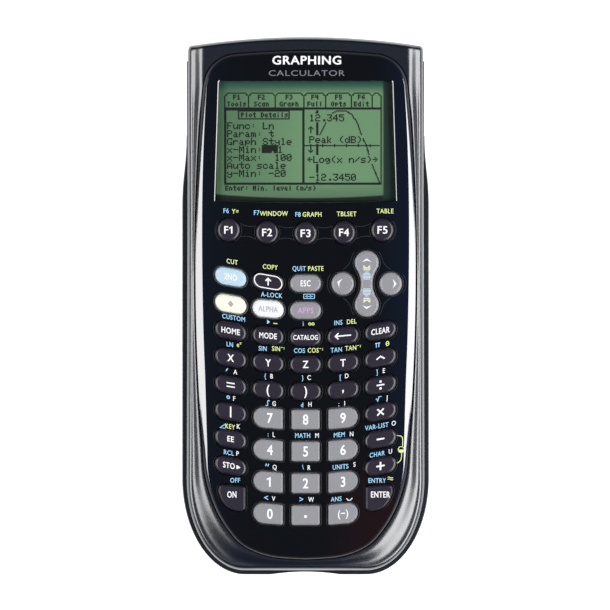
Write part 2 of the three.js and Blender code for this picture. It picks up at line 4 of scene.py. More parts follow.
import bpy
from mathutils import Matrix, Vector


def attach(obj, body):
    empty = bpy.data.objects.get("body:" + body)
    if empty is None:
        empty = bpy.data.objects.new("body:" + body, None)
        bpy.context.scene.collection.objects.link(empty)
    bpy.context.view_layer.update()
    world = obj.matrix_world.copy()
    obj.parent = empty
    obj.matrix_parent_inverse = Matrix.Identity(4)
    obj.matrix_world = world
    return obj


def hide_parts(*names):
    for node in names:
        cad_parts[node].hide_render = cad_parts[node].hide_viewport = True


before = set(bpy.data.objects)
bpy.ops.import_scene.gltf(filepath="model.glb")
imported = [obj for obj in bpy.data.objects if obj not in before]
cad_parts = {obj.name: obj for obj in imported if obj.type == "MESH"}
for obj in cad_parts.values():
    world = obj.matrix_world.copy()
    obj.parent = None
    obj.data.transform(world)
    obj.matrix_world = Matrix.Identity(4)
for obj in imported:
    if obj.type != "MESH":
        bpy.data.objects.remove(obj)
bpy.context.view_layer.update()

MM = 0.001
GAP = 0.3
SHARP = math.radians(32)
INK_LIFT = 0.05  # how far lettering stands above the surface it is printed on
INK_STEP = 0.004

# ---------------------------------------------------------------- driving dimensions

CASE = dict(half=40.8, top_half=40.4, shoulder=89.7, top_corner=1.8, bottom=-90.5, corner_x=20.9,
            corner_y=-59.3)
FRONT_TOP = 92.6
COVER_END = -92.5
COVER = dict(half=42.6, neck_half=41.1, neck_start=34, neck_end=60, open_end=85, floor=1.6, rail_top=8.0,
             skirt_top=12.6, scoop_width=24.6, scoop_depth=1.0)
BACK = COVER["floor"] + GAP
BACK_INSIDE = 3.7
SPLIT = 10.0
BEZEL_FOOT = 18.6
BEZEL_TOP = 22.65
BEZEL_FALL = 0.23  # how far the bezel falls away from the plate, as a share of its width
CORNER_FALL = 0.36  # and the same beside its upper corners
# The bezel's rolled edge: (inset, share of rise)
BEZEL_ROLL = [(0, 0), (0.05, 0.24), (0.22, 0.48), (0.5, 0.7), (0.8, 0.85), (1.2, 0.95), (1.7, 1)]
PLATE_SHOULDER = 35.1  # half width of the plate where its upper corners begin
SIDE_LINE = 39.0
LEDGE = 19.6
PLATE_UNDER = 21.6
PLATE_TOP = 23.3
KEY_UNDER = 20.5
FLANGE_TOP = 21.3
KEY_TOP = 24.9
SHELL = 1.9
LOWER_HALF = 39.4
WINDOW = dict(top_half=29.6, bottom_half=30.9, top=77.2, bottom=36.4, sag=1.6, clearance=0.25, flange=1.2,
              under=20.4, face=22.9)
DISPLAY = dict(half=32.3, low=34.6, high=80.0, frame_top=19.3, glass_top=19.9, margin=1.6, bow=0.0014)
KEY_HOLE_GAP = 0.35
KEY_FLANGE = 0.8
COLUMN_PITCH = 12.8
ROW_ARC = 148
FUNCTION_PITCH = 13.14
FUNCTION_ARC = 300
FUNCTION_ROW = 25.05
FUNCTION_RADIUS = 3.84
UPPER_ROW = 7.94
ROW_PITCH = 9.23
NUMBER_ROW = -38.6
NUMBER_PITCH = 10.9
CORNER_KEY = (25.2, -65.2)
CURSOR = dict(x=20.9, y=7.83, reach=8.2, radius=3.88)
ROCKER = dict(lobe=4.15, lobe_offset=7.17, waist=2.03, foot_top=20.4, foot=19.9)
SCREWS = [(side * 35.4, y) for y in (62, 2, -50) for side in (-1, 1)]
HEAD_RADIUS = 2.1
HEAD_DEPTH = 2.6
BACKUP = dict(x=0, y=8, radius=8.5, screw=4.6, well=7.2, plug=6.9)
HOOKS_AT = (-10.8, 10.8)
HOOK_HALF = 0.9
DOOR = dict(half=24, low=-64.5, high=-11.2, corner=3, thick=0.8, rebate=1.1, travel=3.5)
DOOR_OPENING = dict(half=21.4, low=-61.2, high=-15.0)
BAY = dict(half=22.2, low=-62.2, high=-12.9, wall=1.2, roof_under=14.55, roof_top=15.35)
GROOVE = dict(depth=0.85, low=4.8, high=6.7, end=60.5)
RAIL = dict(reach=0.75, low=5.15, high=6.35, start=-54, end=59.5)
BOARD_UNDER = 15.7
USB = dict(x=-13, width=7.7, height=3.9, low=81.8, high=91.0, shell=0.4, tongue=2.3, clearance=0.5)
JACK = dict(x=13, height=4.6, nose=2.4, bore=1.3, end=91.6)
PORT_CUT = [88.2, FRONT_TOP + 1]  # how far the ports' openings run through the top end
FLOOR_REACH = 1200

# ---------------------------------------------------------------- outlines


class Path:
    """A plan outline drawn piece by piece. Points are (x, y) in millimetres."""

    def __init__(self, x, y):
        self.points = [(x, y)]

    def line(self, x, y):
        self.points.append((x, y))
        return self

    def quad(self, cx, cy, x, y, steps=16):
        ax, ay = self.points[-1]
        for i in range(1, steps + 1):
            t = i / steps
            a, b, c = (1 - t) ** 2, 2 * t * (1 - t), t * t
            self.points.append((a * ax + b * cx + c * x, a * ay + b * cy + c * y))
        return self

    def cubic(self, bx, by, cx, cy, x, y, steps=16):
        ax, ay = self.points[-1]
        for i in range(1, steps + 1):
            t = i / steps
            k = [(1 - t) ** 3, 3 * t * (1 - t) ** 2, 3 * t * t * (1 - t), t ** 3]
            self.points.append((k[0] * ax + k[1] * bx + k[2] * cx + k[3] * x,
                                k[0] * ay + k[1] * by + k[2] * cy + k[3] * y))
        return self

    def arc(self, cx, cy, rx, ry, start, end, steps=16):
        for i in range(steps + 1):
            angle = math.radians(start + (end - start) * i / steps)
            self.points.append((cx + rx * math.cos(angle), cy + ry * math.sin(angle)))
        return self

    def closed(self):
        kept = []
        for p in self.points:
            if not kept or math.dist(p, kept[-1]) > 1e-4:
                kept.append(p)
        while math.dist(kept[0], kept[-1]) <= 1e-4:
            kept.pop()
        return kept


def offset(points, distance):
    moved = []
    for i, (x, y) in enumerate(points):
        bx, by = points[i - 1]
        ax, ay = points[(i + 1) % len(points)]
        first = Vector((x - bx, y - by)).normalized()
        second = Vector((ax - x, ay - y)).normalized()
        normal = Vector((first.y + second.y, -first.x - second.x)).normalized()
        stretch = max(normal.x * first.y - normal.y * first.x, 0.5)
        moved.append((x + normal.x * distance / stretch, y + normal.y * distance / stretch))
    return moved


def turned(points, x, y, tilt=0.0):
    c, s = math.cos(tilt), math.sin(tilt)
    return [(x + c * px - s * py, y + s * px + c * py) for px, py in points]


def slanted(points, slope):
    """Slides each point along Y in step with its X, so upright sides stay upright."""
    return [(x, y + slope * x) for x, y in points]


def case_outline(inset=0.0, half=CASE["half"], top_half=CASE["top_half"], bottom=CASE["bottom"]):
    side, top_side = half - inset, top_half - inset
    low, shoulder = bottom + inset, CASE["shoulder"] - inset
    corner = max(CASE["top_corner"] - inset, 0.5)
    arch = top_side - corner
    handle = 2 * (FRONT_TOP - inset) - shoulder
    cx, cy = CASE["corner_x"], CASE["corner_y"]
    path = Path(-cx, low).line(cx, low)
    path.arc(cx, cy, side - cx, cy - low, -90, 0, 32).line(top_side, shoulder - corner)
    path.quad(top_side, shoulder, arch, shoulder, 8).quad(0, handle, -arch, shoulder, 48)
    path.quad(-top_side, shoulder, -top_side, shoulder - corner, 8).line(-side, cy)
    path.arc(-cx, cy, side - cx, cy - low, 180, 270, 32)
    return path.closed()


def cover_outline(inset=0.0):
    cx, cy = CASE["corner_x"], CASE["corner_y"]
    half, neck, low = COVER["half"] - inset, COVER["neck_half"] - inset, COVER_END + inset
    start, end, top = COVER["neck_start"], COVER["neck_end"], COVER["open_end"] - inset
    path = Path(-cx, low).line(cx, low)
    path.arc(cx, cy, half - cx, cy - low, -90, 0, 32).line(half, start)
    path.cubic(half, start + 12, neck, end - 12, neck, end, 20).line(neck, top).line(-neck, top)
    path.line(-neck, end).cubic(-neck, end - 12, -half, start + 12, -half, start, 20).line(-half, cy)
    path.arc(-cx, cy, half - cx, cy - low, 180, 270, 32)
    return path.closed()


def spline(points, steps):
    """A curve through the points, with the same tangents that three.js gives its own."""
    out = []
    for i in range(len(points) - 1):
        p0 = points[max(i - 1, 0)]
        p1, p2 = points[i], points[i + 1]
        p3 = points[min(i + 2, len(points) - 1)]
        for k in range(steps):
            t = k / steps
            out.append(tuple(
                (2 * b - 2 * c + (c - a) * 0.5 + (d - b) * 0.5) * t ** 3
                + (-3 * b + 3 * c - (c - a) - (d - b) * 0.5) * t ** 2 + (c - a) * 0.5 * t + b
                for a, b, c, d in zip(p0, p1, p2, p3)))
    out.append(points[-1])
    return out


def plate_outline(inset=0.0):
    lower = spline([(0, -86.7), (12, -85.7), (21.2, -82.1), (27, -76), (31.5, -68), (34.5, -58),
                    (35.45, -47.36)], 8)
    path = Path(*lower[0])
    path.points = list(lower)
    path.quad(40.436, 13.82, PLATE_SHOULDER, 75, 28).quad(34, 84.4, 25.5, 86.4, 20)
    path.quad(13, 87.6, 0, 87.7, 12)
    right = path.closed()
    left = [(-x, y) for x, y in reversed(right[1:-1])]
    return offset(right + left, -inset)


def window_outline(grow=0.0, corner=0.9):
    top, bottom = WINDOW["top_half"] + grow, WINDOW["bottom_half"] + grow
    high, low = WINDOW["top"] + grow, WINDOW["bottom"] - grow
    path = Path(-bottom, low).quad(0, low - WINDOW["sag"], bottom, low, 32)
    path.line(top + 0.05, high - corner).quad(top, high, top - corner, high, 8)
    path.line(corner - top, high).quad(-top, high, -top - 0.05, high - corner, 8)
    return path.closed()


def circle(radius, steps=64):
    return Path(radius, 0).arc(0, 0, radius, radius, 0, 360, steps).closed()


def pill(width=10.7, height=5.85):
    end = height / 2
    reach = width / 2 - end
    path = Path(reach, -end).arc(reach, 0, end, end, -90, 90, 28)
    return path.arc(-reach, 0, end, end, 90, 270, 28).closed()


def rounded(width, height, corner, steps=8):
    x, y = width / 2 - corner, height / 2 - corner
    path = Path(x, -height / 2)
    for cx, cy, start in ((x, -y, -90), (x, y, 0), (-x, y, 90), (-x, -y, 180)):
        path.arc(cx, cy, corner, corner, start, start + 90, steps)
    return path.closed()


def half_round(side, width=10.16, height=6.95, corner=0.7):
    end = height / 2
    path = Path(width / 2 - end, -end).arc(width / 2 - end, 0, end, end, -90, 90, 28)
    path.arc(corner - width / 2, end - corner, corner, corner, 90, 180, 8)
    path.arc(corner - width / 2, corner - end, corner, corner, 180, 270, 8)
    points = [(side * x, y) for x, y in path.closed()]
    return points if side > 0 else points[::-1]


def corner_key(side):
    path = Path(-4.55, 1.8).quad(-2.8, -4.6, 2.8, -4.65, 20).quad(4.65, -4.6, 4.65, -3.2, 8).line(4.65, 2.8)
    path.quad(4.65, 3.7, 3.7, 3.75, 8).line(-3.2, 4.35).quad(-4.75, 4.2, -4.55, 1.8, 12)
    points = [(-side * x, y) for x, y in path.closed()]
    return points if side < 0 else points[::-1]


def dumbbell():
    lobe, far, waist = ROCKER["lobe"], ROCKER["lobe_offset"], ROCKER["waist"]
    fillet = (waist ** 2 + far ** 2 - lobe ** 2) / (2 * (lobe - waist))
    centre = waist + fillet
    meet = math.degrees(math.atan2(far, centre))
    start = math.radians(180 + meet)
    path = Path(centre + fillet * math.cos(start), fillet * math.sin(start))
    path.arc(centre, 0, fillet, fillet, 180 + meet, 180 - meet, 16)
    path.arc(0, far, lobe, lobe, -meet, 180 + meet, 40)
    path.arc(-centre, 0, fillet, fillet, meet, -meet, 16)
    path.arc(0, -far, lobe, lobe, 180 - meet, 360 + meet, 40)
    return path.closed()


# ---------------------------------------------------------------- meshes


def mesh_object(name, vertices, faces, materials=(), slots=None, smooth=True):
    mesh = bpy.data.meshes.new(name)
    mesh.from_pydata([(x * MM, y * MM, z * MM) for x, y, z in vertices], [], faces)
    for material in materials:
        mesh.materials.append(material)
    if slots:
        mesh.polygons.foreach_set("material_index", slots)
    mesh.update()
    thing = bpy.data.objects.new(name, mesh)
    bpy.context.scene.collection.objects.link(thing)
    if smooth:
        mesh.shade_smooth()
        mesh.set_sharp_from_angle(angle=SHARP)
    return thing


def loft_data(layers, base=0):
    """Vertices and faces of a closed skin over outlines of equal point count: [(points, z), ...] upwards."""
    count = len(layers[0][0])
    vertices = [(x, y, z) for points, z in layers for x, y in points]
    faces = [tuple(range(base + count - 1, base - 1, -1))]
    for level in range(len(layers) - 1):
        start = base + level * count
        for i in range(count):
            a, b = start + i, start + (i + 1) % count
            faces.append((a, b, b + count, a + count))
    top = base + (len(layers) - 1) * count
    faces.append(tuple(range(top, top + count)))
    return vertices, faces


def loft(name, layers, materials=()):
    vertices, faces = loft_data(layers)
    return mesh_object(name, vertices, faces, materials)


def lofts(name, many):
    vertices, faces = [], []
    for layers in many:
        more, more_faces = loft_data(layers, len(vertices))
        vertices += more
        faces += more_faces
    return mesh_object(name, vertices, faces)


def prism(points, low, high):
    return [(points, low), (points, high)]


def box(x, y, z):
    return prism([(x[0], y[0]), (x[1], y[0]), (x[1], y[1]), (x[0], y[1])], *z)


def post(x, y, radius, z, steps=40):
    return prism(turned(circle(radius, steps), x, y), *z)


def barrel(x, z, radius, y, steps=32):
    """A cylinder lying along Y, as a loft of its level slices."""
    layers = []
    for i in range(steps + 1):
        angle = math.radians(-88 + 176 * i / steps)
        half = radius * math.cos(angle)
        layers.append((box([x - half, x + half], y, [0, 1])[0][0], z + radius * math.sin(angle)))
    return layers


def carve(target, tool, operation):
    """Cuts the tool out of the target, or joins it on."""
    change = target.modifiers.new("change", "BOOLEAN")
    change.operation = operation
    change.solver = "MANIFOLD"
    change.object = tool
    apply_modifiers(target)
    bpy.data.objects.remove(tool)


def combine(target, tools, operation):
    """Cuts or joins a list of lofts into the target, one after another."""
    for layers in tools:
        carve(target, loft("tool", layers), operation)
    resharpen(target)


def resharpen(thing):
    thing.data.shade_smooth()
    thing.data.set_sharp_from_angle(angle=SHARP)


def apply_modifiers(thing):
    bpy.context.view_layer.update()
    graph = bpy.context.evaluated_depsgraph_get()
    mesh = bpy.data.meshes.new_from_object(thing.evaluated_get(graph))
    thing.modifiers.clear()
    old = thing.data
    thing.data = mesh
    bpy.data.meshes.remove(old)


def cut(target, *tools):
    combine(target, tools, "DIFFERENCE")


def add(target, *tools):
    combine(target, tools, "UNION")


def cut_many(target, tools):
    """Cuts lofts that don't touch one another, all at once."""
    carve(target, lofts("tool", tools), "DIFFERENCE")
    resharpen(target)


# ---------------------------------------------------------------- materials


def srgb(r, g, b):
    linear = (((c / 255 + 0.055) / 1.055) ** 2.4 if c > 10 else c / 255 / 12.92 for c in (r, g, b))
    return (*linear, 1.0)


class Graph:
    """Adds wired nodes to the node tree of a material or the world."""

    def __init__(self, owner):
        owner.use_nodes = True
        self.nodes, self.links = owner.node_tree.nodes, owner.node_tree.links

    def put(self, socket, value):
        """Links the socket to another node's output, or gives it a plain value."""
        if isinstance(value, bpy.types.NodeSocket):
            self.links.new(value, socket)
        else:
            socket.default_value = value

    def add(self, kind, inputs=(), output=0, **settings):
        """A new node with its settings, then its inputs; hands back one of its outputs."""
        node = self.nodes.new("ShaderNode" + kind)
        for name, value in settings.items():
            setattr(node, name, value)
        for name, value in dict(inputs).items():
            self.put(node.inputs[name], value)
        return node.outputs[output]

    def math(self, operation, *values, clamp=False):
        return self.add("Math", enumerate(values), "Value", operation=operation, use_clamp=clamp)

    def blend(self, first, second, factor):
        return self.add("Mix", {"A": first, "B": second, "Factor": factor}, "Result", data_type="RGBA")


def surface(name, colour, roughness, vary=0.12, grain=2600, bump=0.05, mottle=260, **values):
    """A Principled finish: colour mottled by a broad noise, roughness and bump from a fine one."""
    material = bpy.data.materials.new(name)
    graph = Graph(material)
    place = graph.add("TexCoord", output="Object")
    broad = graph.add("TexNoise", {"Vector": place, "Scale": mottle, "Detail": 4}, "Fac")
    fine = graph.add("TexNoise", {"Vector": place, "Scale": grain, "Detail": 3}, "Fac")
    darker = (*(c * (1 - vary) for c in colour[:3]), 1)
    lighter = (*(min(c * (1 + vary), 1) for c in colour[:3]), 1)
    spread = {"Value": fine, "To Min": max(roughness * 0.8, 0.02), "To Max": min(roughness * 1.2, 1)}
    inputs = graph.nodes["Principled BSDF"].inputs
    graph.put(inputs["Base Color"], graph.blend(darker, lighter, broad))
    graph.put(inputs["Roughness"], graph.add("MapRange", spread, "Result"))
    relief = {"Height": fine, "Strength": bump, "Distance": 5e-5}
    graph.put(inputs["Normal"], graph.add("Bump", relief, "Normal"))
    for socket, value in values.items():
        inputs[socket.replace("_", " ")].default_value = value
    return material


def wash(material, colour, *ranges):
    """Fades another colour in where each (axis, start, end) in mm has run from its start to its end.

    "bowed" is Y less the sag of the display's lower edge, so its ranges follow that curve.
    """
    graph = Graph(material)
    split = graph.nodes.new("ShaderNodeSeparateXYZ")
    graph.put(split.inputs["Vector"], graph.add("TexCoord", output="Object"))
    x, y = split.outputs["X"], split.outputs["Y"]
    bowed = graph.math("MULTIPLY_ADD", graph.math("MULTIPLY", x, x), -DISPLAY["bow"] / MM, y)
    along = {"X": x, "Y": y, "bowed": bowed}
    factor = None
    for axis, start, end in ranges:
        low, high = min(start, end) * MM, max(start, end) * MM
        falls = float(start > end)
        run = {"Value": along[axis], "From Min": low, "From Max": high, "To Min": falls, "To Max": 1 - falls}
        fade = graph.add("MapRange", run, "Result", interpolation_type="SMOOTHSTEP")
        factor = graph.math("MULTIPLY", factor, fade) if factor else fade
    base = graph.nodes["Principled BSDF"].inputs["Base Color"]
    graph.put(base, graph.blend(base.links[0].from_socket, colour, factor))
    return material


def clear_pane(name):
    """A hard-coated clear sheet: mostly lets light through, with a gloss reflection mixed in."""
    material = bpy.data.materials.new(name)
    graph = Graph(material)
    graph.nodes.remove(graph.nodes["Principled BSDF"])
    place = graph.add("TexCoord", output="Object")
    fine = graph.add("TexNoise", {"Vector": place, "Scale": 900}, "Fac")
    spread = graph.add("MapRange", {"Value": fine, "To Min": 0.04, "To Max": 0.09}, "Result")
    through = graph.add("BsdfTransparent", {"Color": (0.93, 0.97, 0.94, 1)}, "BSDF")
    gloss = graph.add("BsdfGlossy", {"Roughness": spread}, "BSDF")
    fresnel = graph.add("Fresnel", {"IOR": 1.45}, "Fac")
    behind = graph.add("NewGeometry", output="Backfacing")
    share = graph.math("SUBTRACT", fresnel, behind, clamp=True)
    mix = graph.add("MixShader", {"Fac": share, 1: through, 2: gloss}, "Shader")
    graph.put(graph.nodes["Material Output"].inputs["Surface"], mix)
    return material


NAVY = surface("navy_satin", srgb(12, 20, 34), 0.24, vary=0.08, bump=0.12, grain=4800, IOR=2.1)
GLOSS = surface("face_gloss", srgb(8, 12, 17), 0.12, vary=0.10, bump=0.01, grain=1800, IOR=2.4)
# Painted reflection: the gloss face is tinted navy towards both sides and reddish towards its lower right,
# where the studio's lights reflect in it.
wash(GLOSS, srgb(12, 22, 38), ("X", 20, 38))
wash(GLOSS, srgb(10, 18, 29), ("X", -18, -38))
wash(GLOSS, srgb(28, 15, 19), ("X", 2, 24), ("X", 36, 26), ("Y", -46, -68))
PANE = clear_pane("window_clear")
RUBBER = surface("mat_rubber", srgb(58, 60, 64), 0.85, vary=0.15, bump=0.3)
MASK = surface("board_mask", srgb(28, 92, 58), 0.45, vary=0.2, bump=0.2)
STEEL = surface("plated_steel", srgb(196, 197, 200), 0.28, vary=0.08, bump=0.08, Metallic=1.0)
SOCKET = surface("socket_black", srgb(24, 24, 26), 0.5, vary=0.15, bump=0.15)
WRAP = surface("cell_wrap", srgb(150, 152, 158), 0.3, vary=0.1, bump=0.05, Metallic=0.8)
CAPS = {
    "dark": surface("cap_dark", srgb(34, 29, 45), 0.3, vary=0.10, bump=0.12, IOR=1.65),
    "grey": surface("cap_grey", srgb(144, 144, 150), 0.36, vary=0.05, bump=0.12, IOR=1.6),
    "blue": surface("cap_blue", srgb(188, 214, 230), 0.4, vary=0.03, bump=0.05),
    "cream": surface("cap_cream", srgb(240, 241, 226), 0.4, vary=0.03, bump=0.05),
    "white": surface("cap_white", srgb(236, 236, 240), 0.4, vary=0.03, bump=0.05),
}
INKS = {
    "w": surface("ink_white", srgb(248, 248, 250), 0.5, vary=0.03, bump=0.05),
    "b": surface("ink_blue", srgb(158, 214, 248), 0.5, vary=0.05, bump=0.05),
    "g": surface("ink_green", srgb(224, 240, 158), 0.5, vary=0.05, bump=0.05),
    "d": surface("ink_grey", srgb(122, 120, 134), 0.5, vary=0.05, bump=0.05),
    "p": surface("ink_pink", srgb(206, 156, 204), 0.5, vary=0.05, bump=0.05),
    "m": surface("ink_middle", srgb(168, 168, 160), 0.5, vary=0.03, bump=0.05),
    "f": surface("ink_faint", srgb(184, 182, 197), 0.5, vary=0.03, bump=0.05),
    "c": surface("ink_cream", srgb(240, 244, 214), 0.5, vary=0.03, bump=0.05),
    "s": surface("ink_sky", srgb(200, 226, 240), 0.5, vary=0.03, bump=0.05),
    # The contour lines' ink is a painted highlight, standing in for light catching the face's moulded
    # relief.
    "r": surface("painted_relief_highlight", srgb(52, 60, 72), 0.3, vary=0.05, bump=0.05),
}

# ---------------------------------------------------------------- lettering


def raw_text(text, bold):
    curve = bpy.data.curves.new("lettering", "FONT")
    curve.body = text
    curve.offset = bold
    curve.space_character = 1.1
    curve.resolution_u = 3
    thing = bpy.data.objects.new("lettering", curve)
    mesh = bpy.data.meshes.new_from_object(thing)
    vertices = [(v.co.x, v.co.y) for v in mesh.vertices]
    faces = [tuple(p.vertices) for p in mesh.polygons]
    bpy.data.objects.remove(thing)
    bpy.data.curves.remove(curve)
    bpy.data.meshes.remove(mesh)
    return vertices, faces


CAP = max(y for _, y in raw_text("H", 0.0)[0])


def word(text, height, width=None, bold=0.014, squeeze=0.84):
    """Lettering centred on the origin: `height` is its capital height, `width` its whole width."""
    vertices, faces = raw_text(text, bold)
    xs = [x for x, _ in vertices]
    left, right = min(xs), max(xs)
    tall = height / CAP
    wide = width / (right - left) if width else tall * squeeze
    middle = (left + right) / 2
    return [((x - middle) * wide, y * tall - height / 2) for x, y in vertices], faces


def stroke(points, width):
    """A line of even width through the points, with mitred bends."""
    vertices, faces = [], []
    for i, (x, y) in enumerate(points):
        before, after = points[max(i - 1, 0)], points[min(i + 1, len(points) - 1)]
        first = Vector((x - before[0], y - before[1]))
        second = Vector((after[0] - x, after[1] - y))
        along = (first.normalized() + second.normalized()).normalized()
        reference = second if second.length else first
        cosine = max(along.dot(reference.normalized()), 0.4)
        reach = width / 2 / cosine
        vertices += [(x - along.y * reach, y + along.x * reach), (x + along.y * reach, y - along.x * reach)]
        if i:
            k = 2 * i
            faces.append((k - 2, k - 1, k + 1, k))
    return vertices, faces


def filled(points):
    return list(points), [tuple(range(len(points)))]


def ring(points, width):
    inner = offset(points, -width)
    count = len(points)
    faces = [(i, (i + 1) % count, count + (i + 1) % count, count + i) for i in range(count)]
    return list(points) + inner, faces


def merged(*shapes):
    vertices, faces = [], []
    for more, more_faces in shapes:
        base = len(vertices)
        vertices += more
        faces += [tuple(base + i for i in face) for face in more_faces]
    return vertices, faces


def shifted(shape, x, y, tilt=0.0):
    return turned(shape[0], x, y, tilt), shape[1]


class Print:
    """Flat lettering gathered for one surface, in one or more inks."""

    def __init__(self, z):
        self.z = z
        self.vertices, self.faces, self.slots = [], [], []

    def add(self, shape, x=0.0, y=0.0, slot=0, turn=0.0, slope=0.0, heavy=0.0):
        """`heavy` prints the shape twice, that far apart, with the second print a hair above the first."""
        vertices, faces = shape
        placed = slanted(turned(vertices, 0, 0, turn), slope)
        for n, spread in enumerate((-heavy / 2, heavy / 2) if heavy else (0,)):
            base = len(self.vertices)
            self.vertices += [(px + x + spread, py + y, self.z + n * INK_STEP) for px, py in placed]
            self.faces += [tuple(base + i for i in face) for face in faces]
            self.slots += [slot] * len(faces)


def arrow(length, width, head):
    """An arrow pointing along +X, centred on the origin, as one outline."""
    tip, half, bend = length / 2, width / 2, width * math.sqrt(0.5)
    upper = [(tip - 2 * bend, half), (tip - bend - head, head + half - bend), (tip - head, head + half),
             (tip + half, 0)]
    return filled([(-tip, -half)] + [(x, -y) for x, y in upper] + [(x, y) for x, y in reversed(upper[:-1])]
                  + [(-tip, half)])


WING = filled([(-0.6, 1.65), (-0.05, 0), (-0.6, -1.65), (0.65, 0)])


def figure_one(height, width):
    """A figure 1 with a flag, as one outline."""
    top, half = height / 2, width / 2
    flag, drop = -half - 0.24 * height, top - 0.19 * height
    return filled([(half, -top), (half, top), (0, top), (flag, drop), (flag, drop - 1.05 * width),
                   (-half, top - 1.2 * width), (-half, -top)])


def bar(length, width):
    return stroke([(-length / 2, 0), (length / 2, 0)], width)


def cross(length, width):
    reach, half = length / 2, width / 2
    arm = [(reach, -half), (reach, half), (half, half)]
    return filled([p for k in range(4) for p in turned(arm, 0, 0, k * math.pi / 2)])


QUARTER = math.pi / 2
TRIANGLE = filled([(-0.6, -0.75), (0.75, 0), (-0.6, 0.75)])


PLAIN_WORDS = {  # key -> (text, height, width) of the one white word in the middle of its cap
    "second": ("2ND", 2.0, 4.4),
    "escape": ("ESC", 2.0, 3.4),
    "home": ("HOME", 1.9, 6.3),
    "mode": ("MODE", 1.9, 6.0),
    "catalog": ("CATALOG", 1.6, 8.4),
    "clear": ("CLEAR", 1.9, 6.3),
    "x": ("X", 2.4),
    "y": ("Y", 2.4),
    "z": ("Z", 2.4),
    "t": ("T", 2.4),
    "ee": ("EE", 1.85),
}


def key_marks(outline):
    """What is printed on each cap: name -> list of (shape, dx, dy, turn, ink)."""
    dot = filled(circle(0.42, 20))
    stripes = merged(*[shifted(bar(reach, 0.27), 0, -1.2 + 0.48 * n)
                       for n, reach in enumerate((2.3, 2.9, 2.9, 2.8, 2.2, 1.2))])
    spread_mark = merged(bar(2.6, 0.34), stroke([(-1.2, 0.8), (-0.35, 0.17)], 0.34),
                         stroke([(1.2, 0.8), (0.35, 0.17)], 0.34), shifted(bar(2.2, 0.3), 0, -0.6))
    marks = {
        "shift": [(ring(offset(outline, -0.5), 0.36), 0, 0, 0, "w"),
                  (arrow(2.5, 0.45, 0.85), 0, 0, QUARTER, "w")],
        "diamond": [(filled([(-0.95, 0), (0, -1.1), (0.95, 0), (0, 1.1)]), 0, 0, 0, "m")],
        "alpha": [(word("ALPHA", 1.8, 6.6), 0, -0.1, 0, "f")],
        "apps": [(word("APPS", 1.9, 5.4), 0, 0, 0, "p")],
        "backspace": [(arrow(5.4, 0.45, 0.95), 0, 0, math.pi, "w")],
        "power": [(stroke([(-1.4, -0.5), (0, 0.45), (1.4, -0.5)], 0.42), 0, 0.1, 0, "w")],
        "equals": [(bar(2.8, 0.42), 0, 0.6, 0, "w"), (bar(2.8, 0.42), 0, -0.6, 0, "w")],
        "open_paren": [(word("(", 2.9), 0, 0.2, 0, "w")],
        "close_paren": [(word(")", 2.9), 0, 0.2, 0, "w")],
        "comma": [(word(",", 3.0), 0, 0.9, 0, "w")],
        "divide": [(bar(2.6, 0.5), 0, 0, 0, "w"), (dot, 0, 1.15, 0, "w"), (dot, 0, -1.15, 0, "w")],
        "with": [(bar(3.7, 0.45), 0, 0, QUARTER, "w")],
        "multiply": [(cross(3.0, 0.5), 0, 0, QUARTER / 2, "w")],
        "minus": [(bar(2.6, 0.55), 0, 0, 0, "w")],
        "plus": [(cross(2.8, 0.55), 0, 0, 0, "w")],
        "store": [(word("STO", 1.9, 4.0), -0.6, 0.1, 0, "w"), (TRIANGLE, 2.6, 0, 0, "w")],
        "on": [(word("ON", 2.1, 3.1), 0, 1.0, 0, "w")],
        "enter": [(word("ENTER", 2.0, 6.5), 0.4, 1.0, 0, "w")],
        "point": [(filled(circle(0.5, 20)), 0, -0.4, 0, "w")],
        "negate": [(word("(−)", 2.3), 0, 0.1, 0, "w")],
        "left": [(WING, -1.2, 0.4, math.pi - 0.35, "w")],
        "right": [(WING, 1.3, 0, 0, "w")],
        "rocker": [(WING, 0, 8.0, QUARTER, "w"), (WING, 0, -8.0, -QUARTER, "w"),
                   (spread_mark, 0, 5.35, 0, "c"), (spread_mark, 0, -5.6, math.pi, "c"),
                   (stripes, 0, 2.8, 0, "s"), (stripes, 0, -3.0, math.pi, "s")],
    }
    for name, size in PLAIN_WORDS.items():
        marks[name] = [(word(*size), 0, 0, 0, "w")]
    marks["f1"] = [(word("F", 2.5, 1.35), -0.85, 0, 0, "w"), (figure_one(2.5, 0.46), 1.05, 0, 0, "w")]
    for i in range(2, 6):
        marks["f%d" % i] = [(word("F%d" % i, 2.5, 3.4), 0, 0, 0, "w")]
    for digit in "023456789":
        marks[digit] = [(word(digit, 3.3), 0.6 if digit in "740" else 0, 0, 0, "w")]
    marks["1"] = [(figure_one(3.3, 0.55), 0.6, 0, 0, "w")]
    return marks


# ---------------------------------------------------------------- the keypad's layout

KEYS = []  # (name, outline, x, y, slope of its row, look)


def add_row_key(name, outline, column, y, look, arc=ROW_ARC, pitch=COLUMN_PITCH):
    x = column * pitch
    slope = x / arc if arc == ROW_ARC else 0.0
    KEYS.append((name, slanted(outline, slope), x, y + x * x / (2 * arc), slope, look))


SQUARE_KEYS = set("0123456789") | {"point", "negate", "on", "enter"}


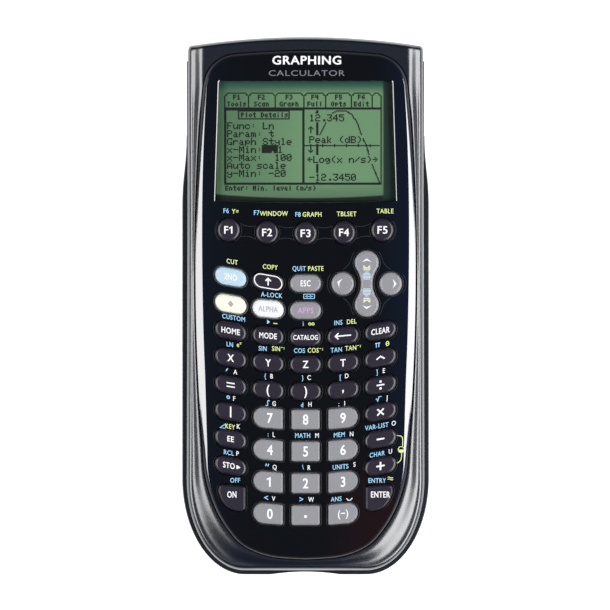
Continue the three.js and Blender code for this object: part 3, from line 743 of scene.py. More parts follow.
def lay_out_keys():
    for column in range(-2, 3):
        add_row_key("f%d" % (column + 3), circle(FUNCTION_RADIUS), column, FUNCTION_ROW, "dark",
                    FUNCTION_ARC, FUNCTION_PITCH)
    ovals = {
        -2: ["second", "diamond", "home", "x", "equals", "with", "ee", "store"],
        -1: ["shift", "alpha", "mode", "y", "open_paren"],
        0: ["escape", "apps", "catalog", "z", "close_paren"],
        1: [None, None, "backspace", "t", "comma"],
        2: [None, None, "clear", "power", "divide", "multiply", "minus", "plus"],
    }
    looks = {"second": "blue", "diamond": "cream", "alpha": "white", "escape": "grey", "apps": "grey"}
    for column, names in ovals.items():
        for row, name in enumerate(names):
            if name:
                add_row_key(name, pill(), column, UPPER_ROW - row * ROW_PITCH, looks.get(name, "dark"))
    for row, (left, middle, right) in enumerate(["789", "456", "123", ("0", "point", "negate")]):
        y = NUMBER_ROW - row * NUMBER_PITCH
        add_row_key(left, half_round(-1), -1, y, "grey")
        add_row_key(middle, rounded(9.7, 6.75, 0.7), 0, y, "grey")
        add_row_key(right, half_round(1), 1, y, "grey")
    KEYS.append(("on", corner_key(-1), -CORNER_KEY[0], CORNER_KEY[1], 0.0, "dark"))
    KEYS.append(("enter", corner_key(1), CORNER_KEY[0], CORNER_KEY[1], 0.0, "dark"))
    KEYS.append(("left", circle(CURSOR["radius"]), CURSOR["x"] - CURSOR["reach"], CURSOR["y"], 0.0, "grey"))
    KEYS.append(("right", circle(CURSOR["radius"]), CURSOR["x"] + CURSOR["reach"], CURSOR["y"], 0.0, "grey"))
    KEYS.append(("rocker", dumbbell(), CURSOR["x"], CURSOR["y"], 0.0, "grey"))


# The caps' rounded edge: (inset, height)
KEY_EDGE = [(0, 24.2), (0.04, 24.42), (0.12, 24.58), (0.22, 24.68), (0.32, 24.75), (0.7, 24.88),
            (0.78, KEY_TOP), (0.86, KEY_TOP)]
TIGHT_CORNERS = 0.68  # share of that inset on caps with small corners


def build_keys():
    for name, outline, x, y, slope, look in KEYS:
        foot = offset(outline, KEY_FLANGE)
        under, top = (ROCKER["foot"], ROCKER["foot_top"]) if name == "rocker" else (KEY_UNDER, FLANGE_TOP)
        layers = [(foot, under), (foot, top), (outline, top)]
        share = TIGHT_CORNERS if name in SQUARE_KEYS else 1
        layers += [(offset(outline, -inset * share), z) for inset, z in KEY_EDGE]
        vertices, faces = loft_data([(turned(points, x, y), z) for points, z in layers])
        inks = []
        printed = Print(KEY_TOP + INK_LIFT)
        for shape, dx, dy, turn, ink in key_marks(outline)[name]:
            if ink not in inks:
                inks.append(ink)
            heavy = 0 if name in ("shift", "rocker") else 0.05
            printed.add(shape, x + dx, y + dy + slope * dx, inks.index(ink) + 1, turn, slope, heavy)
        base = len(vertices)
        slots = [0] * len(faces) + printed.slots
        vertices += printed.vertices
        faces += [tuple(base + i for i in face) for face in printed.faces]
        materials = [CAPS[look]] + [INKS[ink] for ink in inks]
        cap = mesh_object("cap_" + name, vertices, faces, materials, slots)
        node = "key_" + name
        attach(cap, node)
        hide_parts(node)


# ---------------------------------------------------------------- legends on the face

LEGENDS = {  # key -> (text, ink, dx, dy) from the key's middle
    "f1": [("F6", "b", -0.9, 6.6), ("Y=", "g", 2.2, 6.4)],
    "f2": [("F7", "b", -3.6, 6.8), ("WINDOW", "g", 2.3, 6.5)],
    "f3": [("F8", "b", -2.6, 6.5), ("GRAPH", "g", 2.2, 6.5)],
    "f4": [("TBLSET", "g", 0.9, 6.4)],
    "f5": [("TABLE", "g", 0.9, 6.5)],
    "second": [("CUT", "g", -0.4, 5.2)],
    "shift": [("COPY", "g", 0.3, 5.1)],
    "escape": [("QUIT", "b", -2.2, 5.1), ("PASTE", "g", 3.5, 5.1)],
    "alpha": [("A-LOCK", "b", 0.8, 4.8)],
    "apps": [("tiles", "b", 1.2, 4.8)],
    "home": [("CUSTOM", "b", 0.2, 4.6)],
    "mode": [("next", "b", -0.3, 4.7), ("under", "g", 2.1, 4.4)],
    "catalog": [("i", "b", -0.8, 4.7), ("endless", "g", 2.0, 4.6)],
    "backspace": [("INS", "b", -1.2, 4.6), ("DEL", "g", 3.4, 4.6)],
    "x": [("LN", "b", -1.1, 4.5), ("eˣ", "g", 2.1, 4.9)],
    "y": [("SIN", "b", -2.3, 4.7), ("SIN⁻¹", "g", 3.0, 5.0)],
    "z": [("COS", "b", -2.1, 4.7), ("COS⁻¹", "g", 3.3, 4.8)],
    "t": [("TAN", "b", -1.9, 4.6), ("TAN⁻¹", "g", 3.8, 4.8)],
    "power": [("pi", "b", -0.1, 5.1), ("theta", "g", 3.2, 4.4)],
    "equals": [("prime", "b", -2.2, 4.9), ("A", "w", 0.8, 4.6)],
    "open_paren": [("{", "b", -1.4, 4.6), ("B", "w", 0.8, 4.7)],
    "close_paren": [("}", "b", -1.0, 4.6), ("C", "w", 1.2, 4.7)],
    "comma": [("[", "b", -0.5, 4.4), ("D", "w", 1.7, 4.6)],
    "divide": [("]", "b", -0.4, 4.6), ("E", "w", 2.0, 4.6)],
    "with": [("degree", "b", -1.7, 4.8), ("F", "w", 0.4, 4.7)],
    "7": [("integral", "b", -0.6, 5.0), ("G", "w", 1.6, 5.0)],
    "8": [("d", "b", -1.2, 5.0), ("H", "w", 1.5, 5.2)],
    "9": [(";", "b", -1.0, 4.9), ("I", "w", 1.0, 4.9)],
    "multiply": [("root", "b", 0.1, 4.4), ("J", "w", 3.0, 4.4)],
    "ee": [("angle", "b", -3.5, 3.8), ("KEY", "g", -0.9, 4.1), ("K", "w", 1.9, 4.6)],
    "4": [(":", "b", -0.5, 5.3), ("L", "w", 1.5, 5.3)],
    "5": [("MATH", "b", -1.0, 5.4), ("M", "w", 3.9, 5.4)],
    "6": [("MEM", "b", -0.8, 5.2), ("N", "w", 3.4, 5.1)],
    "minus": [("VAR-LIST", "b", -0.5, 4.4), ("O", "w", 5.4, 4.5)],
    "store": [("RCL", "b", -1.4, 4.3), ("P", "w", 1.6, 4.5)],
    "1": [("inches", "b", -0.9, 5.6), ("Q", "w", 1.8, 5.1)],
    "2": [("\\", "b", -0.9, 5.5), ("R", "w", 1.2, 5.3)],
    "3": [("UNITS", "b", -0.4, 5.1), ("S", "w", 4.4, 5.5)],
    "plus": [("CHAR", "b", -0.4, 4.1), ("U", "w", 4.2, 4.3)],
    "on": [("OFF", "b", 1.1, 5.8)],
    "0": [("less", "b", -1.1, 5.3), ("V", "w", 1.4, 5.2)],
    "point": [("more", "b", -1.5, 5.4), ("W", "w", 1.9, 5.3)],
    "negate": [("ANS", "b", -1.9, 5.1), ("space", "w", 2.6, 4.7)],
    "enter": [("ENTRY", "b", -0.7, 5.7), ("about", "g", 3.8, 6.4)],
}
LEGEND_HEIGHT = 1.55
FUNCTION_KEYS = ("f1", "f2", "f3", "f4", "f5")


def curl(points, width=0.26):
    return stroke(points, width)


def arc_points(radius, start, end, x=0.0, y=0.0, steps=14):
    angles = (math.radians(start + (end - start) * i / steps) for i in range(steps + 1))
    return [(x + radius * math.cos(a), y + radius * math.sin(a)) for a in angles]


def symbols():
    """Marks that stand among the legends, drawn round the origin."""
    wave = [(-0.9 + 0.15 * i, 0.16 * math.sin(math.pi * i / 6)) for i in range(13)]
    return {
        "tiles": merged(ring(rounded(3.9, 1.7, 0.25, 3), 0.22), bar(2.6, 0.26),
                        shifted(bar(0.9, 0.24), -0.7, 0, QUARTER), shifted(bar(0.9, 0.24), 0.5, 0, QUARTER)),
        "next": filled([(-0.45, -0.75), (0.5, 0), (-0.45, 0.75)]),
        "under": shifted(bar(1.3, 0.28), 0, 0),
        "endless": merged(*[ring(turned(circle(0.52, 20), side * 0.55, 0), 0.24) for side in (-1, 1)]),
        "integral": curl(arc_points(0.3, 0, 180, 0.3, 0.65, 8) + [(0, -0.65)]
                         + arc_points(0.3, 0, -180, -0.3, -0.65, 8)),
        "root": curl([(-0.95, 0), (-0.6, 0.15), (-0.25, -0.7), (0.15, 0.75), (1.0, 0.75)]),
        "angle": curl([(0.85, 0.75), (-0.85, -0.6), (0.9, -0.6)]),
        "about": merged(shifted(curl(wave), 0, 0.32), shifted(curl(wave), 0, -0.32)),
        "space": curl([(-1.05, 0.3)] + arc_points(0.75, 205, 335, 0, 0.3) + [(1.05, 0.3)]),
        "prime": curl([(-0.35, -0.45), (0.35, 0.45)], 0.34),
        "inches": merged(curl([(-0.45, -0.4), (-0.15, 0.45)], 0.3), curl([(0.3, -0.4), (0.6, 0.45)], 0.3)),
        "less": curl([(0.6, 0.6), (-0.55, 0), (0.6, -0.6)]),
        "more": curl([(-0.6, 0.6), (0.55, 0), (-0.6, -0.6)]),
        "degree": ring(circle(0.6, 24), 0.3),
        "theta": merged(ring([(0.72 * x, y) for x, y in circle(0.85, 24)], 0.27), bar(0.7, 0.24)),
        "pi": merged(bar(1.7, 0.3), shifted(bar(1.25, 0.28), -0.42, -0.77, QUARTER),
                     shifted(bar(1.25, 0.28), 0.42, -0.77, QUARTER)),
    }


def painted_relief_lines():
    """Faint contour lines round the function keys and the cursor keys, where the face is moulded in relief:
    flat strokes in a lighter ink, a painted highlight on the relief's edges.
    """
    lines = []
    spots = [(x, y) for name, _, x, y, _, _ in KEYS if name in FUNCTION_KEYS]
    for (ax, ay), (bx, by) in zip(spots, spots[1:]):
        for side in (-1, 1):
            dip = Path(ax + 3.95, ay + side * 2.3)
            dip.quad((ax + bx) / 2, (ay + by) / 2 + side * 1.2, bx - 3.95, by + side * 2.3, 14)
            lines.append(dip.points)
    for (x, y), start, end in ((spots[0], 140, 225), (spots[-1], -45, 40)):
        lines.append(arc_points(FUNCTION_RADIUS + 0.9, start, end, x, y))
    x, y = CURSOR["x"], CURSOR["y"]
    for side in (-1, 1):
        lines.append([(x + side * px, y + py) for px, py in arc_points(5.3, -38, 38, CURSOR["reach"], 0)])
        for up in (1, -1):
            path = Path(8.1, 4.95).quad(5.9, 6.2, 5.3, 8.5, 12).quad(5.0, 9.8, 4.3, 10.8, 6)
            lines.append([(x + side * px, y + up * py) for px, py in path.points])
    return lines


def face_print():
    """All the lettering on the face plate, in one piece with its inks as slots."""
    order = list("wbgdr")
    drawn = symbols()
    printed = Print(PLATE_TOP + INK_LIFT)
    for name, _, x, y, slope, _ in KEYS:
        for text, ink, dx, dy in LEGENDS.get(name, []):
            squeeze = 0.85 if name in FUNCTION_KEYS else 0.81
            shape = drawn.get(text) or word(text, LEGEND_HEIGHT, bold=0.008, squeeze=squeeze)
            at = turned([(dx, dy)], x, y, math.atan(slope))[0]
            printed.add(shape, *at, order.index(ink), 0, slope, 0.03)
    printed.add(word("GRAPHING", 2.8, 23.5, bold=0.016), 0.4, 84.3, order.index("w"), heavy=0.07)
    printed.add(word("CALCULATOR", 1.9, 26, bold=0.0), 0.4, 79.9, order.index("d"))
    wire = Path(31.2, -44.1).line(32.2, -44.2).quad(33.2, -44.3, 33.2, -45.4, 6).line(33.2, -47.7)
    tail = Path(32.9, -50.1).line(32.8, -51.6).quad(32.6, -53.1, 31.2, -53.5, 6)
    ball = ring(circle(1.15, 32), 0.25)
    half = filled(arc_points(0.95, 180, 360, steps=12))
    for shape, at in ((stroke(wire.points, 0.28), (0, 0)), (stroke(tail.points, 0.28), (0, 0)),
                      (ball, (32.7, -48.9)), (half, (32.7, -48.9))):
        printed.add(shape, *at, order.index("g"))
    for line in painted_relief_lines():
        printed.add(stroke(line, 0.14), slot=order.index("r"))
    thing = mesh_object("face_lettering", printed.vertices, printed.faces, [INKS[i] for i in order],
                        printed.slots)
    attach(thing, "case")


# ---------------------------------------------------------------- the display

DOT = 0.3395  # pitch of the display's dots
DOT_SPREAD = 0.045
DOTS = (160, 100)
DOTS_LEFT, DOTS_TOP = -27.9, 73.4
GLYPHS = {
    "A": "7C1211127C", "B": "7F49494936", "F": "7F09090901", "G": "3E41415173", "L": "7F40404040",
    "M": "7F021C027F", "P": "7F09090906", "S": "2649494932", "a": "2054547840", "c": "3844444428",
    "d": "384444287F", "e": "3854545418", "g": "18A4A49C78", "h": "7F08040478", "i": "00447D4000",
    "k": "7F10284400", "l": "00417F4000", "m": "7C04780478", "n": "7C08040478", "o": "3844444438",
    "p": "FC18242418", "r": "7C08040408", "s": "4854545424", "t": "04043F4424", "u": "3C4040207C",
    "x": "4428102844", "y": "4C9090907C", "0": "3E5149453E", "1": "00427F4000", "2": "7249494946",
    "3": "2141494D33", "4": "1814127F10", "5": "2745454539", ":": "0000140000", ".": "0000606000",
    "-": "0808080808", "(": "001C224100", ")": "0041221C00", "/": "2010080402", "<": "08142A0808",
    ">": "08082A1408", "^": "04027F0204", "_": "10207F2010",
}
SMALL = {
    "D": "1F110E", "E": "1F1515", "F": "1F0505", "G": "0E111D", "M": "1F061F", "O": "0E110E",
    "P": "1F0502", "S": "121509", "T": "011F01", "1": "121F10", "2": "191512", "3": "11150A",
    "4": "07041F", "5": "17150D", "6": "0E150D", ":": "000A00", "(": "0E1100", ")": "00110E",
    "/": "180403", ".": "001000", "a": "0C121E", "d": "0C121F", "e": "0C1A14", "i": "001D00",
    "l": "001F00", "n": "1E021C", "o": "0C120C", "p": "1E0A04", "r": "1E0202", "s": "14160A",
    "t": "021F12", "u": "0E101E", "c": "0C1212", "h": "1F021C", "v": "061806",
}


class Dots:
    """The display's dots, lit (dark) or not, on a grid that starts at the upper left."""

    def __init__(self):
        self.grid = [[False] * DOTS[0] for _ in range(DOTS[1])]

    def put(self, column, row, lit=True):
        if 0 <= column < DOTS[0] and 0 <= row < DOTS[1]:
            self.grid[row][column] = lit

    def block(self, left, top, right, bottom, lit=True):
        for row in range(top, bottom + 1):
            for column in range(left, right + 1):
                self.put(column, row, lit)

    def frame(self, left, top, right, bottom):
        self.block(left, top, right, top)
        self.block(left, bottom, right, bottom)
        self.block(left, top, left, bottom)
        self.block(right, top, right, bottom)

    def text(self, text, left, top, glyphs=GLYPHS, lit=True, clear=False):
        width = 5 if glyphs is GLYPHS else 3
        for n, letter in enumerate(text):
            code = glyphs.get(letter)
            start = left + n * (width + 1)
            if clear:
                self.block(start - 1, top - 1, start + width, top + 7, False)
            if not code:
                continue
            for i in range(width):
                bits = int(code[2 * i:2 * i + 2], 16)
                for k in range(8):
                    if bits >> k & 1:
                        self.put(start + i, top + k, lit)

    def line(self, points):
        for (ax, ay), (bx, by) in zip(points, points[1:]):
            steps = int(max(abs(bx - ax), abs(by - ay))) + 1
            for i in range(steps + 1):
                t = i / steps
                self.put(round(ax + (bx - ax) * t), round(ay + (by - ay) * t))

    def mesh(self, z):
        vertices, faces = [], []
        for row, lit in enumerate(self.grid):
            column = 0
            while column < DOTS[0]:
                if not lit[column]:
                    column += 1
                    continue
                end = column
                while end < DOTS[0] and lit[end]:
                    end += 1
                x0, x1 = DOTS_LEFT + column * DOT - DOT_SPREAD, DOTS_LEFT + end * DOT + DOT_SPREAD
                y1 = DOTS_TOP - row * DOT + DOT_SPREAD
                y0 = y1 - DOT - 2 * DOT_SPREAD
                base = len(vertices)
                vertices += [(x0, y0, z), (x1, y0, z), (x1, y1, z), (x0, y1, z)]
                faces.append((base, base + 1, base + 2, base + 3))
                column = end
        return vertices, faces


def draw_display():
    dots = Dots()
    edges = [0, 24, 51, 80, 102, 128, 149, 158]
    for left, right in zip(edges, edges[1:]):
        dots.block(left + 3, 0, right - 3, 0)
        dots.line([(left, 3), (left + 3, 0)])
        dots.line([(right - 3, 0), (right, 3)])
        dots.block(left, 3, left, 14)
        dots.block(right, 3, right, 14)
    tabs = [("F1", "Tools"), ("F2", "Scan"), ("F3", "Graph"), ("F4", "Full"), ("F5", "Opts"), ("F6", "Edit")]
    for (upper, lower), left, right in zip(tabs, edges, edges[1:]):
        middle = (left + right) // 2
        dots.text(upper, middle - 3, 2, SMALL)
        dots.text(lower, middle - 2 * len(lower) + 1, 9, SMALL)
    dots.block(0, 15, 158, 16)
    dots.block(0, 17, 80, 17)
    dots.block(0, 15, 1, 92)
    dots.block(79, 15, 80, 92)
    dots.block(0, 91, 158, 92)
    dots.block(158, 15, 158, 92)
    dots.frame(14, 18, 65, 26)
    dots.text("Plot Details", 17, 20, SMALL)
    rows = ["Func: Ln", "Param: t", "Graph Style", "x-Min:", "x-Max:  100", "Auto scale", "y-Min: -20"]
    for n, row in enumerate(rows):
        dots.text(row, 3, 30 + 8 * n)
    dots.block(38, 53, 53, 60)
    dots.text(".", 46, 54, lit=False)
    dots.text("1", 54, 54)
    dots.block(93, 18, 94, 90)
    dots.block(92, 20, 94, 20)
    dots.block(81, 53, 156, 53)
    for tick in range(6):
        dots.block(81 + 12 * tick + 6, 52, 81 + 12 * tick + 6, 54)
    dots.line([(96, 43), (102, 30), (109, 20), (114, 18), (122, 18), (128, 21), (134, 30), (138, 42),
               (143, 53), (146, 63), (149, 72), (156, 90)])
    dots.text("12.345", 86, 22, clear=True)
    dots.text("Peak (dB)", 86, 44, clear=True)
    dots.text("^", 85, 34)
    dots.text("_", 85, 54)
    dots.text("<Log(x n/s)>", 84, 64, clear=True)
    dots.text("-12.3450", 86, 82, clear=True)
    dots.text("Enter: Min. level (n/s)", 1, 94, SMALL)
    return dots


# ---------------------------------------------------------------- case, plate and window

# The plate's rounded edge where it is broadest: (inset, height)
PLATE_EDGE = [(0, 22.2), (0.04, 22.36), (0.2, 22.52), (0.8, 22.77), (1.4, 22.98), (2.0, 23.15), (2.6, 23.29),
              (2.65, PLATE_TOP)]
EDGE_LEAST = 0.38  # and its width at the plate's ends, as a share of that
RING_STEPS = 300  # points up each half of the bezel


def even_loop(points):
    """The closed outline as evenly spaced points, starting at the middle of its lower end."""
    right = [p for p in points if p[0] > 1e-6]
    middle = [y for x, y in points if abs(x) <= 1e-6]
    half = [(0, min(middle + [right[0][1]]))] + right + [(0, max(middle))]
    lengths = [0.0]
    for a, b in zip(half, half[1:]):
        lengths.append(lengths[-1] + math.dist(a, b))
    out, k = [], 0
    for i in range(RING_STEPS + 1):
        at = lengths[-1] * i / RING_STEPS
        while k < len(half) - 2 and lengths[k + 1] < at:
            k += 1
        t = (at - lengths[k]) / max(lengths[k + 1] - lengths[k], 1e-9)
        out.append(tuple(a + (b - a) * t for a, b in zip(half[k], half[k + 1])))
    return out + [(-x, y) for x, y in reversed(out[1:-1])]


def smooth_step(low, high, value):
    """0 at `low` and before it, 1 at `high` and past it; `low` may be the larger."""
    t = min(max((value - low) / (high - low), 0), 1)
    return t * t * (3 - 2 * t)


BEZEL_STEPS = 14


def bezel_rows():
    """Rings from the case's edge, up its roll, then in a long S up to the plate.

    Beside the display's upper corners the S runs straight on up the sides instead of following the plate.
    """
    edge = even_loop(plate_outline(-GAP))
    inner = even_loop(case_outline(BEZEL_ROLL[-1][0]))

    def height(x, y, width, t):
        beside = width * (1 - smooth_step(0.05, 0.95, t))
        straight = (SIDE_LINE - PLATE_SHOULDER) * smooth_step(PLATE_SHOULDER, SIDE_LINE, abs(x))
        share = smooth_step(62, 80, y)
        return BEZEL_TOP - BEZEL_FALL * beside * (1 - share) - CORNER_FALL * straight * share

    widths = [math.dist(a, b) for a, b in zip(inner, edge)]
    rows = []
    for inset, share in BEZEL_ROLL:
        ring = even_loop(case_outline(inset))
        rows.append([(x, y, BEZEL_FOOT + (height(x, y, w, 0) - BEZEL_FOOT) * share)
                     for (x, y), w in zip(ring, widths)])
    for k in range(1, BEZEL_STEPS + 1):
        t = k / BEZEL_STEPS
        points = [(a[0] + (b[0] - a[0]) * t, a[1] + (b[1] - a[1]) * t) for a, b in zip(inner, edge)]
        rows.append([(x, y, height(x, y, w, t)) for (x, y), w in zip(points, widths)])
    return rows


def build_front():
    rows = [[(x, y, z) for x, y in even_loop(case_outline(inset))]
            for inset, z in ((0.25, SPLIT + GAP), (0, SPLIT + GAP + 0.25))]
    rows += bezel_rows()
    faces = loft_data([([p[:2] for p in row], 0) for row in rows])[1]
    shell = mesh_object("front_shell", [p for row in rows for p in row], faces, [NAVY])
    edge = plate_outline(-GAP)
    room = USB["width"] / 2 + USB["clearance"]
    usb = box([USB["x"] - room, USB["x"] + room], PORT_CUT,
              [BOARD_UNDER - USB["height"] - USB["clearance"], BOARD_UNDER + USB["clearance"]])
    cut(shell,
        prism(edge, PLATE_UNDER - GAP, BEZEL_TOP + 1),
        prism(plate_outline(1.3), LEDGE - 1, BEZEL_TOP + 1),
        prism(case_outline(SHELL), SPLIT - 1, LEDGE),
        usb)
    shell.data.set_sharp_from_angle(angle=math.radians(40))
    cut(shell, barrel(JACK["x"], BOARD_UNDER - JACK["height"] / 2, JACK["nose"] + USB["clearance"],
                      PORT_CUT))
    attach(shell, "case")
    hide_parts("front_case")


def plate_layers():
    """The plate's rounded edge: broad beside the keypad and display, narrowing towards both ends."""
    outline = plate_outline()
    inner = offset(outline, -1)
    layers = [(outline, PLATE_UNDER)]
    for inset, z in PLATE_EDGE + [(PLATE_EDGE[-1][0] + 0.15, PLATE_TOP)]:
        ring = []
        for (x, y), (ix, iy) in zip(outline, inner):
            breadth = smooth_step(-72, -20, y) * smooth_step(100, -5, y)
            reach = inset * (EDGE_LEAST + (1 - EDGE_LEAST) * breadth)
            ring.append((x + (ix - x) * reach, y + (iy - y) * reach))
        layers.append((ring, z))
    return layers


def build_plate():
    plate = loft("gloss_face", plate_layers(), [GLOSS])
    wells = []
    for _, outline, x, y, _, _ in KEYS:
        steps = [(0, PLATE_UNDER - 1), (0, PLATE_TOP - 0.25), (0.12, PLATE_TOP - 0.08),
                 (0.32, PLATE_TOP + 0.02), (0.32, PLATE_TOP + 1)]
        wells.append([(turned(offset(outline, KEY_HOLE_GAP + grow), x, y), z) for grow, z in steps])
    view = [(window_outline(grow), z) for grow, z in
            ((0, PLATE_UNDER - 1), (0, PLATE_TOP - 0.4), (0.12, PLATE_TOP - 0.12), (0.4, PLATE_TOP + 0.02),
             (0.4, PLATE_TOP + 1))]
    cut_many(plate, wells + [view])
    plate.data.set_sharp_from_angle(angle=math.radians(18))
    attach(plate, "case")
    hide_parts("face_plate")


def build_window():
    foot = window_outline(WINDOW["flange"])
    pane = window_outline(-WINDOW["clearance"])
    soft = window_outline(-WINDOW["clearance"] - 0.12)
    inner = window_outline(-WINDOW["clearance"] - 0.2)
    top = PLATE_UNDER - GAP
    face = WINDOW["face"]
    layers = [(foot, WINDOW["under"]), (foot, top), (pane, top), (pane, face - 0.1), (soft, face),
              (inner, face)]
    sheet = loft("window_sheet", layers, [PANE])
    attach(sheet, "case")
    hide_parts("display_window")


def lcd_material():
    """Green display film with painted shade: darker towards its left and towards its curved lower edge, with
    a painted teal shadow of the window's rim along its right and upper edges; below the green, a dark mask
    follows that curve.
    """
    material = surface("lcd_green", srgb(118, 148, 116), 0.45, vary=0.08, bump=0.02, mottle=26)
    wash(material, srgb(92, 122, 95), ("X", 4, -32))
    wash(material, srgb(42, 86, 76), ("Y", 72.6, 76.5))
    wash(material, srgb(99, 127, 99), ("bowed", 44, 38))
    wash(material, srgb(10, 14, 16), ("bowed", 37.6, 36.9))
    return wash(material, srgb(20, 42, 41), ("X", 26.1, 27.1))


def build_display():
    half, low, high, margin = (DISPLAY[k] for k in ("half", "low", "high", "margin"))
    frame_top, glass_top = DISPLAY["frame_top"], DISPLAY["glass_top"]
    middle = (low + high) / 2
    outer = turned(rounded(2 * half, high - low, 0.8), 0, middle)
    inner = turned(rounded(2 * (half - margin), high - low - 2 * margin, 0.5), 0, middle)
    layers = [(outer, 17.6), (outer, frame_top - 0.2), (offset(outer, -0.2), frame_top), (inner, frame_top),
              (inner, glass_top - 0.1), (offset(inner, -0.1), glass_top)]
    vertices, faces = loft_data(layers)
    glass = mesh_object("display_glass", vertices, faces, [lcd_material()])
    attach(glass, "case")
    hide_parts("lcd_module")
    ink = surface("dot_dark", srgb(8, 16, 13), 0.6, vary=0.1, bump=0.02)
    vertices, faces = draw_display().mesh(glass_top + 0.05)
    dots = mesh_object("display_dots", vertices, faces, [ink], smooth=False)
    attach(dots, "case")


# ---------------------------------------------------------------- back, power and cover


def build_cover():
    low_edge = [(0.9, 0), (0.5, 0.12), (0.2, 0.38), (0.04, 0.75), (0, 1.1)]
    high_edge = [(0, 12.1), (0.1, 12.4), (0.35, COVER["skirt_top"])]
    layers = [(cover_outline(inset), z) for inset, z in low_edge + high_edge]
    tray = loft("cover_tray", layers, [NAVY])
    clear = GAP + 0.05
    radius = ((COVER["scoop_width"] / 2) ** 2 + COVER["scoop_depth"] ** 2) / (2 * COVER["scoop_depth"])
    cut(tray,
        prism(case_outline(-clear), COVER["rail_top"], COVER["skirt_top"] + 1),
        prism(case_outline(-GAP, LOWER_HALF, LOWER_HALF), COVER["floor"], COVER["rail_top"] + 1),
        box([-60, 60], [COVER["neck_end"] - 1, 100], [COVER["rail_top"], COVER["skirt_top"] + 1]),
        post(0, COVER_END + COVER["scoop_depth"] - radius, radius, [-1, COVER["skirt_top"] + 1], 240))
    rails = []
    for side in (-1, 1):
        xs = sorted([side * (LOWER_HALF + GAP - RAIL["reach"]), side * (LOWER_HALF + GAP + 0.5)])
        rails.append(box(xs, [RAIL["start"], RAIL["end"]], [RAIL["low"], RAIL["high"]]))
    add(tray, *rails)
    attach(tray, "slide_cover")
    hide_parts("slide_cover")


def build_back():
    lower_top = LOWER_HALF - 0.4
    foot = [(0.6, BACK), (0.2, BACK + 0.15), (0, BACK + 0.55)]
    narrow = [(case_outline(inset, LOWER_HALF, lower_top), z) for inset, z in foot]
    narrow.append((case_outline(0, LOWER_HALF, lower_top), COVER["rail_top"] + 1))
    tray = loft("rear_shell", narrow, [NAVY])
    add(tray, prism(case_outline(0), COVER["rail_top"] + GAP, SPLIT))
    cut(tray, prism(case_outline(SHELL, LOWER_HALF, lower_top), BACK_INSIDE, SPLIT + 1))
    half, wall = BAY["half"], BAY["wall"]
    add(tray, box([-half - wall, half + wall], [BAY["low"] - wall, BAY["high"] + wall],
                  [BACK_INSIDE - 0.5, BAY["roof_top"]]),
        post(BACKUP["x"], BACKUP["y"], BACKUP["radius"] + 1.5, [BACK_INSIDE - 0.5, BACK + 5]),
        *[post(x, y, 2.5, [BACK_INSIDE - 0.5, SPLIT]) for x, y in SCREWS])
    rebate_low, rebate_high = DOOR["low"] - GAP - DOOR["travel"], DOOR["high"] + GAP
    rebate = turned(rounded(2 * (DOOR["half"] + GAP), rebate_high - rebate_low, DOOR["corner"]), 0,
                    (rebate_low + rebate_high) / 2)
    grooves = []
    for side in (-1, 1):
        xs = sorted([side * (LOWER_HALF - GROOVE["depth"]), side * (LOWER_HALF + 3)])
        grooves.append(box(xs, [-100, GROOVE["end"]], [GROOVE["low"], GROOVE["high"]]))
    opening = DOOR_OPENING["half"]
    cut(tray,
        box([-half, half], [BAY["low"], BAY["high"]], [BACK_INSIDE, BAY["roof_under"]]),
        box([-opening, opening], [DOOR_OPENING["low"], DOOR_OPENING["high"]], [BACK - 1, BACK_INSIDE + 1]),
        prism(rebate, BACK - 1, BACK + DOOR["rebate"]),
        post(BACKUP["x"], BACKUP["y"], BACKUP["radius"] + GAP, [BACK - 1, BACK + DOOR["rebate"]], 72),
        post(BACKUP["x"], BACKUP["y"], BACKUP["well"], [BACK - 1, BACK + 4], 60),
        *grooves)
    cut_many(tray, [post(x, y, HEAD_RADIUS, [BACK - 1, BACK + HEAD_DEPTH]) for x, y in SCREWS])
    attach(tray, "case")
    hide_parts("back_case")


def build_screws():
    """Pan-head screws with a cross recess, one in each well of the back."""
    for n, (x, y) in enumerate(SCREWS):
        head = [(1.1, 0.55), (1.55, 0.7), (1.8, 1.0), (1.85, 1.3), (1.85, 2.5)]
        layers = [(turned(circle(radius), x, y), BACK + z) for radius, z in head]
        screw = loft("case_screw_%d" % (n + 1), layers, [STEEL])
        cut(screw, box([x - 1.1, x + 1.1], [y - 0.2, y + 0.2], [BACK - 1, BACK + 1.5]),
            box([x - 0.2, x + 0.2], [y - 1.1, y + 1.1], [BACK - 1, BACK + 1.5]))
        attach(screw, "case")


def build_door():
    middle = (DOOR["low"] + DOOR["high"]) / 2
    outline = turned(rounded(2 * DOOR["half"], DOOR["high"] - DOOR["low"], DOOR["corner"]), 0, middle)
    layers = [(offset(outline, -0.35), BACK), (offset(outline, -0.1), BACK + 0.1), (outline, BACK + 0.3),
              (outline, BACK + DOOR["thick"])]
    slab = loft("battery_hatch", layers, [NAVY])
    ribs = [turned(rounded(16, 0.7, 0.34), 0, DOOR["high"] - 6 - 1.6 * k) for k in range(6)]
    cut_many(slab, [prism(rib, BACK - 1, BACK + 0.25) for rib in ribs])
    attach(slab, "battery_door")
    hook_top = BACK_INSIDE + GAP + 0.8
    hooks = []
    for x in HOOKS_AT:
        across = [x - HOOK_HALF, x + HOOK_HALF]
        root = DOOR_OPENING["high"] - 1.4
        hooks.append(box(across, [root, DOOR_OPENING["high"] - GAP], [BACK + 0.4, hook_top]))
        hooks.append(box(across, [root, BAY["high"] - GAP], [BACK_INSIDE + GAP, hook_top]))
    add(slab, *hooks)
    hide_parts("battery_door")


